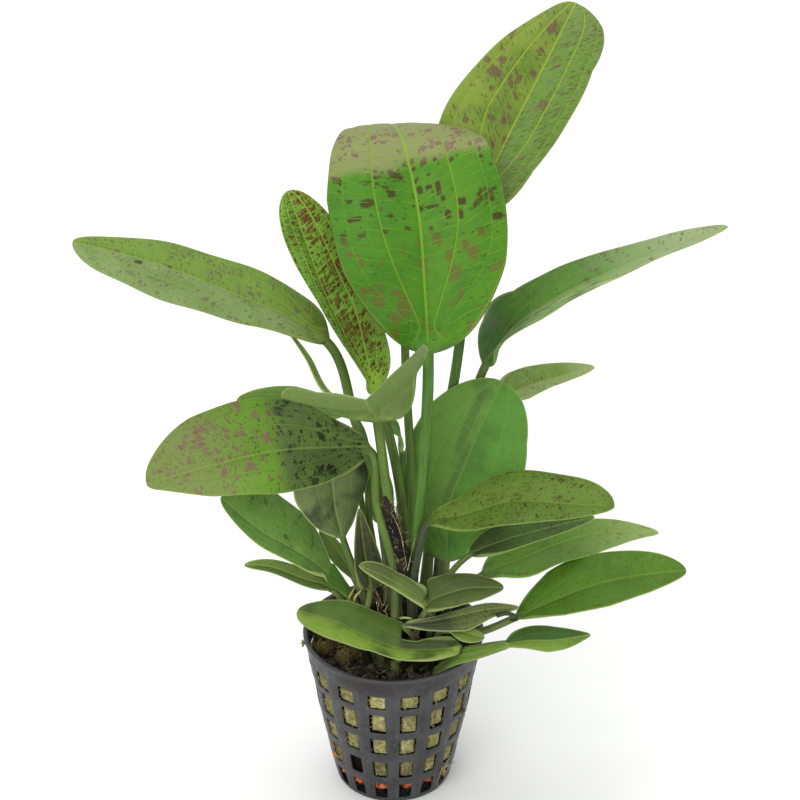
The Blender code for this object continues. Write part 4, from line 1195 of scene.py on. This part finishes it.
def add_wool():
    """Mineral wool that fills the holes almost to the outside, with painted shade in the gaps beside it."""
    turns = 576
    heights = np.linspace(CLAY_TOP + 0.1, WOOL_TOP + 0.3, 150)
    turn = np.arange(turns) / turns * HOLE_COLUMNS
    angle = COLUMN_ANGLE * turn - np.pi / 2
    cell = turn.astype(int)
    rng = np.random.default_rng(5)
    ranges = ((0.0, 0.35), (-0.1, 0.4), (-0.1, 0.45), (-0.35, 0.35), (0.0, 0.3), (0.0, 0.6))
    size = (len(HOLE_ROWS), HOLE_COLUMNS)
    sink, right, up, tilt, shades, greens = (rng.uniform(*ends, size) for ends in ranges)
    for place, shade in HOLE_SHADES.items():
        shades[place] = shade
    points, tints = [], []
    for z in heights:
        swell, gap_shade, shade, green = np.zeros(turns), np.ones(turns), np.zeros(turns), np.zeros(turns)
        for row, (low, high, width) in enumerate(HOLE_ROWS):
            if not low - 0.4 < z < high + 0.4:
                continue
            arc = (turn - cell - 0.5) * COLUMN_ANGLE * wall_radius(z)
            frayed = 0.22 * ripple(z * 3.3 + cell * 2.0, arc * 3.1 + z)
            gap_x = width / 2 + 0.1 - np.abs(arc - right[row][cell]) + frayed
            middle = (low + high) / 2 + up[row][cell] + tilt[row][cell] * arc * 0.3
            gap_z = (high - low) / 2 + 0.1 - np.abs(z - middle) + frayed
            gap = np.minimum(gap_x, gap_z)
            shade = shades[row][cell]
            # In a black hole the wool stays back and is painted black, as shade inside the hole
            black = shade > BLACK_HOLE
            swell = np.where(black, 0, smoothstep(gap, 0.0, 0.75) * (SHELL + 0.75 - sink[row][cell]))
            gap_shade = np.where(black, 1, 1 - smoothstep(gap, 0.0, 0.4))
            green = greens[row][cell] + 0.3 * ripple(arc * 1.7 + cell, z * 1.5)
        radius = wall_radius(z) - SHELL - 0.95 + swell
        radius = radius + 0.12 * ripple(angle * 51, z * 2.3 + angle * 9)
        radius = radius + 0.07 * ripple(angle * 97 + z * 3, z * 5.1) + rng.normal(0, 0.035, turns)
        points.append(np.stack((radius * np.cos(angle), radius * np.sin(angle), np.full(turns, z)), 1))
        tints.append(np.stack((np.clip(shade, 0, 1), np.clip(green, 0, 1), gap_shade), 1))
    material = wool_material("surface_wool", (208, 197, 134), (160, 149, 90), (96, 88, 48), tinted_and_shaded=True)
    faces = tube_faces(len(heights), turns)
    attributes = {"wool_tone_and_shade": np.vstack(tints)}
    obj = add_piece("wool_fill", np.vstack(points), faces, material, "mineral_wool", attributes=attributes)
    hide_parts("mineral_wool")


def grain_mesh(rng, grains, fine=1, rough=0.22):
    """Many small uneven grains as one set of points and faces, from each one's centre and size."""
    seed = bmesh.new()
    bmesh.ops.create_icosphere(seed, subdivisions=fine, radius=1.0)
    base = np.array([v.co[:] for v in seed.verts])
    triangles = [tuple(v.index for v in f.verts) for f in seed.faces]
    seed.free()
    points, faces = [], []
    for centre, size in grains:
        turn = np.linalg.qr(rng.normal(size=(3, 3)))[0]
        shape = base * (1 + rng.normal(0, rough, (len(base), 1)))
        shape = shape * rng.uniform(0.65, 1.25, 3)
        start = len(points) * len(base)
        points.append(shape @ turn * size + centre)
        faces += [tuple(start + k for k in triangle) for triangle in triangles]
    return np.vstack(points), faces


def clay_material(name, light, dark, lit_from=None):
    """Rough baked clay; below lit_from (metres), if given, the grains are painted nearly black as shade."""
    g = Graph(name)
    place = g.place()
    cloud = g.noise(place, 260.0, 3.0)
    pits = g.noise(place, 1600.0, 3.0, 0.7)
    colour = g.mix(g.step(cloud, 0.38, 0.62), srgb(*dark), srgb(*light))
    colour = g.mix(g.step(pits, 0.55, 0.7, 0, 0.5), colour, srgb(*(v * 0.55 for v in dark)))
    if lit_from:
        uneven = g.split(place)[2] + (cloud - 0.5) * 0.0014
        colour = g.mix(g.step(uneven, lit_from - 0.0004, lit_from + 0.0005, 1, 0), colour, srgb(18, 15, 14))
    return g.finish(colour, 0.92, 0.2, pits + cloud, 0.8, 0.0005)


def add_clay():
    """Baked clay grains that show in the lowest holes."""
    rng = np.random.default_rng(23)
    grains = []
    for _ in range(420):
        angle = rng.uniform(0, 2 * np.pi)
        z = rng.uniform(FLOOR + 1.0, CLAY_TOP - 0.9)
        size = rng.uniform(0.8, 1.5)
        reach = wall_radius(z) - SHELL - size - 0.1
        if rng.uniform() > 0.6:
            reach = reach * rng.uniform(0.0, 1.0) ** 0.5
        grains.append(((reach * math.cos(angle), reach * math.sin(angle), z), size))
    points, faces = grain_mesh(rng, grains, 2, 0.08)
    material = clay_material("surface_clay", (210, 120, 74), (156, 80, 52), 0.0051)
    obj = add_piece("clay_fill", points, faces, material, "clay")
    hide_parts("clay_layer")


def add_mound(name, node, slot, material, centre, reaches, turns, foot, height):
    """A closed mound of rings that shrink to its middle, from a foot below the first one."""
    angle = 2 * np.pi * np.arange(turns) / turns
    points = []
    for reach in reaches:
        x = centre[0] + reach * np.cos(angle)
        y = centre[1] + reach * np.sin(angle)
        if not points:
            points.append(np.stack((x, y, np.full(turns, foot)), 1))
        points.append(np.stack((x, y, height(x, y, reach)), 1))
    obj = add_piece(name, np.vstack(points), tube_faces(len(points), turns), material, slot)
    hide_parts(node)


def add_soil():
    """The bed of dark soil under the rim, with crumbs on it."""
    edge = wall_radius(WOOL_TOP) - WALL - 0.35

    def height(x, y, reach):
        coarse = 0.7 * ripple(x * 0.45, y * 0.5) + 0.35 * ripple(x * 1.7 + y, y * 1.9)
        return SOIL_TOP - 0.4 + coarse + 0.25 * ripple(x * 4.1 - y, y * 3.7 + x)

    material = wool_material("surface_soil", (76, 67, 57), (40, 36, 33), (20, 18, 17))
    reaches = edge * np.linspace(1, 0, 47) + 0.05
    add_mound("soil_bed", "soil", "soil", material, (0, 0), reaches, 160, WOOL_TOP + 0.3, height)
    rng = np.random.default_rng(37)
    grains = []
    for _ in range(1500):
        angle = rng.uniform(0, 2 * np.pi)
        reach = (edge - 0.8) * math.sqrt(rng.uniform(0, 1))
        x, y = reach * math.cos(angle), reach * math.sin(angle)
        z = SOIL_TOP - 0.3 + 0.7 * float(ripple(x * 0.45, y * 0.5)) + rng.uniform(-0.1, 0.5)
        grains.append(((x, y, z), rng.uniform(0.25, 0.8)))
    material = clay_material("surface_crumbs", (98, 87, 74), (44, 40, 36))
    add_piece("soil_crumbs", *grain_mesh(rng, grains), material, "soil", smooth=False)


def add_crown():
    """The uneven dome of leaf bases and old fibres that the leaves grow from."""

    def height(x, y, reach):
        share = reach / CROWN_RADIUS
        return CROWN_TOP - CROWN_DROP * share**2 + 0.35 * ripple(x * 1.4, y * 1.5) * (1 - share**4)

    material = wool_material("surface_crown", (92, 96, 48), (60, 58, 34), (40, 36, 24))
    reaches = np.maximum(CROWN_RADIUS * np.linspace(1, 0, 31), 0.05)
    foot = SOIL_TOP - 0.6
    add_mound("crown_base", "crown", "crown_flesh", material, CROWN_CENTRE, reaches, 96, foot, height)


# Fibres, roots and dead leaf bases


def unit(way):
    return way / np.linalg.norm(way)


def wander(rng, start, heading, length, steps, curl, floor=None):
    """A path that drifts from its heading, kept above a floor height where one is given."""
    path = [np.array(start, float)]
    way = np.array(heading, float)
    for _ in range(steps):
        way = unit(way + rng.normal(0, curl, 3))
        point = path[-1] + way * length / steps
        if floor is not None and point[2] < floor:
            point[2] = floor
        path.append(point)
    return np.array(path)


def tubes(strands, sides=3, blunt=0.2):
    """Thin closed tubes from paths and radii, thinner towards their ends."""
    points, faces = [], []
    start = 0
    angle = 2 * np.pi * np.arange(sides) / sides
    for path, radius in strands:
        ahead = np.gradient(path, axis=0)
        ahead /= np.maximum(np.linalg.norm(ahead, axis=1), 1e-9)[:, None]
        side = np.cross(ahead, (0.31, 0.17, 0.93))
        side /= np.maximum(np.linalg.norm(side, axis=1), 1e-9)[:, None]
        up = np.cross(ahead, side)
        girth = np.interp(np.linspace(0, 1, len(path)), (0, 0.7, 1), (1, 0.8, blunt)) * radius
        ring = np.cos(angle)[None, :, None] * side[:, None] + np.sin(angle)[None, :, None] * up[:, None]
        points.append((path[:, None] + ring * girth[:, None, None]).reshape(-1, 3))
        faces += tube_faces(len(path), sides, start)
        start += len(path) * sides
    return np.vstack(points), faces


def strand_material(name, light, dark, deep, scale=700.0):
    g = Graph(name)
    place = g.place()
    cloud = g.noise(place, scale * 0.35, 3.0)
    fine = g.noise(place, scale * 2.2, 2.0)
    colour = g.mix(g.step(cloud, 0.35, 0.65), srgb(*dark), srgb(*light))
    colour = g.mix(g.step(fine, 0.5, 0.75, 0, 0.6), colour, srgb(*deep))
    return g.finish(colour, 0.85, 0.2, fine, 0.4, 0.0001)


# Clumps of pulled-out wool: place, reach, number of strands
TUFTS = (
    ((-21.4, -1.8, 46.6), 2.6, 260), ((-14.6, -7.0, 47.2), 2.8, 300), ((-10.8, -5.6, 47.6), 2.4, 240),
    ((-17.5, 3.0, 46.6), 3.0, 240), ((-23.0, 6.5, 46.4), 2.4, 160), ((-12.4, -5.6, 66.5), 1.5, 90),
    ((-9.0, -5.2, 63.0), 1.6, 80), ((-27.2, -4.6, 50.2), 0.8, 40), ((21.0, -11.7, 30.3), 0.7, 30),
    ((20.5, -12.6, 30.5), 0.9, 40), ((14.6, 8.0, 46.6), 3.0, 160), ((2.0, 17.0, 46.4), 3.4, 180),
)


def add_tufts():
    """Pale wool pulled up through the soil and caught between the stalks."""
    rng = np.random.default_rng(71)
    strands = []
    for centre, reach, number in TUFTS:
        low = SOIL_TOP - 0.4 if centre[2] > SOIL_TOP and reach > 2 else None
        for _ in range(number):
            way = unit(rng.normal(size=3))
            start = np.array(centre) + rng.normal(0, 0.42, 3) * reach * (1, 1, 0.55)
            length = rng.uniform(1.0, 2.6) * (0.5 + reach / 4)
            strands.append((wander(rng, start, way, length, 6, 0.55, low), rng.uniform(0.06, 0.15)))
    material = strand_material("surface_tufts", (156, 142, 86), (98, 84, 52), (52, 42, 28))
    add_piece("wool_tufts", *tubes(strands), material, "mineral_wool")


def add_wool_fibres():
    """Short fibres that stand out of the wool in the holes."""
    rng = np.random.default_rng(72)
    strands = []
    for row, (low, high, width) in enumerate(HOLE_ROWS[1:], 1):
        for column in range(HOLE_COLUMNS):
            if HOLE_SHADES.get((row, column), 0) > BLACK_HOLE:
                continue
            for _ in range(34):
                height = rng.uniform(low + 0.2, min(high, WOOL_TOP) - 0.2)
                radius = float(wall_radius(height)) - SHELL - 0.1
                angle = column_middle(column) + rng.uniform(-0.5, 0.5) * (width - 0.4) / radius
                out = np.array((math.cos(angle), math.sin(angle), 0))
                way = unit(rng.normal(size=3) + out * 0.25)
                start = out * (radius + rng.uniform(-0.1, 0.45)) + (0, 0, height)
                path = wander(rng, start, way, rng.uniform(0.6, 1.7), 4, 0.45)
                strands.append((path, rng.uniform(0.05, 0.11)))
    material = strand_material("surface_wool_fibres", (214, 204, 142), (150, 142, 80), (96, 88, 48))
    add_piece("wool_fibres", *tubes(strands), material, "mineral_wool")


def add_roots():
    """Fine pale roots through the holes, over the soil and among the stalks."""
    rng = np.random.default_rng(73)
    strands = []
    for _ in range(16):
        start = np.array((15.0, -12.4, 9.0)) + rng.normal(0, 0.7, 3)
        way = (rng.uniform(-0.3, 0.8), rng.uniform(-0.5, 0.1), rng.uniform(-0.9, 0.6))
        path = wander(rng, start, way, rng.uniform(2.5, 5.0), 8, 0.35)
        reach = np.hypot(path[:, 0], path[:, 1])
        path[:, :2] *= (np.maximum(reach, wall_radius(path[:, 2]) + 0.15) / reach)[:, None]
        strands.append((path, rng.uniform(0.09, 0.16)))
    for _ in range(44):
        angle = rng.uniform(0, 2 * np.pi)
        reach = rng.uniform(9, 22)
        start = (reach * math.cos(angle), reach * math.sin(angle), SOIL_TOP + 0.4)
        way = (*rng.normal(size=2), 0.1)
        path = wander(rng, start, way, rng.uniform(3, 8), 9, 0.4, SOIL_TOP)
        path[:, :2] *= np.minimum(1, 23.5 / np.hypot(path[:, 0], path[:, 1]))[:, None]
        path[:, 2] = np.clip(path[:, 2], SOIL_TOP, SOIL_TOP + 1.6)
        strands.append((path, rng.uniform(0.08, 0.16)))
    material = strand_material("surface_roots", (190, 176, 142), (136, 120, 88), (92, 76, 54))
    add_piece("fine_roots", *tubes(strands, 4), material, "crown_flesh")


# Dead leaf bases, coloured near black as painted shade between the stalks: route and thickness
DEAD_CORE = (
    (((3.8, -7.4, 70), (3.5, -7.8, 75), (2.9, -8.0, 81), (1.0, -8.4, 90), (-2.4, -9.4, 105)), 3.1),
    (((3.4, -2.5, 46.5), (3.6, -3.2, 62), (2.8, -3.6, 76), (0.4, -3.8, 90), (-2.2, -4.0, 101.5)), 3.4),
    (((5.6, -3.5, 46.5), (6.4, -3.8, 60), (5.6, -4.2, 74), (4.0, -4.6, 82)), 2.4),
    (((-2.0, -4.5, 46.5), (-3.0, -4.8, 58), (-4.2, -5.0, 68), (-4.6, -5.0, 72)), 2.0),
    (((5.0, -9.2, 46.6), (5.6, -9.8, 51), (6.2, -10.4, 56.8)), 1.3),
    (((7.6, -8.6, 46.6), (8.4, -9.0, 50.5), (8.9, -9.2, 54.5)), 1.1),
    (((2.0, -9.8, 46.6), (1.6, -10.4, 50), (1.0, -10.6, 53.4)), 1.1),
    (((-7.5, -7.0, 46.0), (-9.5, -7.2, 54), (-11.5, -7.0, 62), (-12.6, -6.6, 68)), 1.0),
)


def add_dead_bases():
    """Rotted leaf bases between the living stalks, ragged and ribbed, and near black: painted shade in the
    gap between the stalks.
    """
    points, faces = [], []
    sides = 28
    angle = 2 * np.pi * np.arange(sides) / sides
    for number, (route, thick) in enumerate(DEAD_CORE):
        rows = int(12 + 3.2 * np.linalg.norm(np.subtract(route[-1], route[0])) / thick)
        places, ahead = smooth_route(route, np.linspace(0, 1, rows))
        side = np.cross(ahead, (0.0, 1.0, 0.0))
        side /= np.linalg.norm(side, axis=1)[:, None]
        up = np.cross(ahead, side)
        faces += [face[::-1] for face in tube_faces(rows, sides, len(points) * sides)]
        for row in range(rows):
            share = row / (rows - 1)
            girth = thick * (1 - 0.62 * share) * (1 - 0.55 * smoothstep(share, 0.9, 1.0))
            ribs = 1 + 0.16 * ripple(angle * 5 + number, row * 0.35 + angle * 2)
            ribs = ribs + 0.07 * ripple(angle * 11 + row * 0.3, row * 0.9)
            ring = np.cos(angle)[:, None] * side[row] + 0.7 * np.sin(angle)[:, None] * up[row]
            points.append(places[row] + (girth * ribs)[:, None] * ring)
    material = strand_material("surface_dead", (48, 40, 34), (24, 21, 20), (12, 11, 11), 500.0)
    add_piece("dead_bases_in_painted_shade", np.vstack(points), faces, material, "crown_flesh")


# Pale curled fibres: radius and route
HAIRS = (
    (0.18, (
        (-3.0, -9.4, 103.6), (-1.2, -9.8, 100.8), (0.9, -10.2, 96.8), (2.2, -10.4, 92.8),
        (3.2, -10.4, 86.8), (4.2, -10.2, 79.8),
    )),
    (0.16, ((4.2, -10.2, 79.8), (5.0, -10.3, 84.0), (5.8, -9.2, 87.5), (7.0, -8.6, 92.1))),
    (0.15, (
        (-2.0, -9.4, 103.6), (0.4, -9.6, 101.8), (1.2, -9.8, 98.8), (0.2, -9.6, 96.4), (-1.0, -9.4, 99.0),
    )),
    (0.2, ((-4.0, -7.0, 68.1), (-3.1, -6.4, 65.0), (-2.4, -7.2, 67.0), (-2.2, -7.0, 71.0))),
    (0.2, ((-5.4, -6.6, 71.0), (-4.2, -6.8, 67.4), (-4.6, -6.6, 63.8), (-3.4, -6.4, 60.6))),
    (0.16, ((-1.6, -7.2, 66.0), (-2.4, -7.0, 63.4), (-1.4, -7.0, 60.4))),
)


def add_hairs():
    """Pale curled fibres left on the dead bases."""
    rng = np.random.default_rng(74)
    strands = [(smooth_route(route, np.linspace(0, 1, 24))[0], radius) for radius, route in HAIRS]
    for route, thick in DEAD_CORE:
        places = smooth_route(route, np.linspace(0.1, 0.97, 60))[0]
        for _ in range(22 * len(route)):
            place = places[rng.integers(0, len(places))]
            angle = rng.uniform(0, 2 * np.pi)
            out = np.array((math.cos(angle), math.sin(angle), 0))
            way = unit(out * 0.35 + (0, 0, rng.uniform(-1, 1)) + rng.normal(0, 0.35, 3))
            path = wander(rng, place + out * thick * 0.62, way, rng.uniform(1.2, 4.0), 7, 0.42)
            strands.append((path, rng.uniform(0.05, 0.12)))
    material = strand_material("surface_hairs", (182, 172, 128), (108, 96, 66), (58, 48, 36))
    add_piece("dead_fibres", *tubes(strands, 4), material, "crown_flesh")


# Small loose pieces: name, slot, light, dark and deep colour, then each strand's radius and route
SCRAPS = (
    ("curled_leaflet", "leaf_green", (70, 84, 46), (48, 58, 36), (34, 38, 28), (
        (0.75, (
            (30.8, -12.0, 65.2), (33.4, -12.4, 66.2), (36.0, -12.0, 65.0), (36.6, -11.6, 63.5),
            (34.6, -11.4, 63.1),
        )),
    )),
    ("pale_scraps", "leaf_green", (158, 178, 112), (130, 150, 84), (110, 124, 70), (
        (0.42, ((2.0, -14.0, 65.6), (3.4, -14.3, 66.0), (4.8, -14.2, 65.7), (5.8, -14.0, 65.2))),
    )),
    ("dry_sheaths", "crown_flesh", (190, 178, 124), (146, 134, 84), (96, 86, 54), (
        (0.5, ((-13.8, -6.4, 64.6), (-13.0, -6.8, 68.4), (-11.6, -6.6, 71.6))),
        (0.4, ((-12.2, -6.6, 64.2), (-11.2, -7.0, 68.6), (-9.6, -6.8, 71.0))),
        (0.5, ((-14.6, -6.2, 64.0), (-13.8, -6.9, 65.6), (-12.2, -6.6, 66.6))),
    )),
    ("red_roots", "crown_flesh", (104, 78, 60), (78, 56, 44), (48, 38, 30), (
        (0.3, ((5.4, -15.4, 59.4), (5.8, -15.8, 61.0), (6.8, -15.6, 62.6))),
        (0.26, ((7.6, -15.4, 59.6), (6.6, -15.9, 60.8), (5.2, -15.6, 61.2))),
        (0.24, ((6.0, -15.4, 60.4), (7.2, -15.8, 61.4), (7.6, -15.5, 62.4))),
    )),
    ("clay_crumb", "clay", (188, 140, 100), (144, 102, 70), (98, 70, 48), (
        (0.8, ((-17.5, -11.0, 12.6), (-17.9, -11.0, 13.3), (-18.3, -10.8, 14.2))),
        (0.4, ((-18.2, -10.6, 15.6), (-18.5, -10.5, 16.3), (-18.4, -10.4, 16.9))),
    )),
)


def add_scraps():
    """Loose curled bits of leaf, dry sheath, root and clay."""
    for name, slot, light, dark, deep, routes in SCRAPS:
        strands = []
        for radius, route in routes:
            path = smooth_route(route, np.linspace(0, 1, 20))[0]
            uneven = np.stack([ripple(path[:, k] * 3 + k) for k in range(3)], 1)
            strands.append((path + 0.12 * uneven, radius))
        material = strand_material("surface_" + name, light, dark, deep)
        add_piece(name, *tubes(strands, 9, 0.3), material, slot)


# Studio


def add_floor():
    bpy.ops.mesh.primitive_grid_add(x_subdivisions=8, y_subdivisions=8, size=12)
    floor = bpy.context.object
    floor.name = "floor"
    g = Graph("surface_floor")
    colour = g.mix(g.noise(g.place(), 3.0), srgb(246, 246, 246), srgb(250, 250, 250))
    floor.data.materials.append(g.finish(colour, 0.9, 0.1))


def add_light(name, place, size, power):
    """A round light that faces the plant."""
    lamp = bpy.data.lights.new(name, "AREA")
    lamp.shape = "DISK"
    lamp.size = size
    lamp.energy = power
    obj = bpy.data.objects.new(name, lamp)
    obj.location = place
    obj.rotation_euler = (Vector(LIGHT_TARGET) - Vector(place)).to_track_quat("-Z", "Y").to_euler()
    bpy.context.scene.collection.objects.link(obj)


def add_studio():
    scene = bpy.context.scene
    scene.view_settings.view_transform = "Standard"
    world = bpy.data.worlds.new("studio")
    scene.world = world
    world.use_nodes = True
    back = world.node_tree.nodes["Background"]
    back.inputs["Color"].default_value = (1, 1, 1, 1)
    back.inputs["Strength"].default_value = WORLD_LIGHT
    add_light("overhead", (-0.15, 0.25, 1.5), 1.2, OVERHEAD_LIGHT)
    add_light("front_fill", (-0.5, -1.3, 1.0), 1.3, FILL_LIGHT)
    camera = bpy.data.cameras.new("camera")
    camera.lens = CAMERA_LENS
    camera.sensor_width = 36
    camera.clip_start = 0.05
    camera.clip_end = 20
    obj = bpy.data.objects.new("camera", camera)
    obj.location = CAMERA_PLACE
    obj.rotation_euler = (math.radians(CAMERA_PITCH), 0, 0)
    scene.collection.objects.link(obj)
    scene.camera = obj


add_studio()
add_floor()
add_pot()
add_wool()
add_clay()
add_soil()
add_crown()
add_tufts()
add_wool_fibres()
add_roots()
add_dead_bases()
add_hairs()
add_scraps()
for number, (name, form) in enumerate(LEAVES.items()):
    fine_leaf(name, form, {**PLAIN_LOOK, **LOOKS[name]}, number)
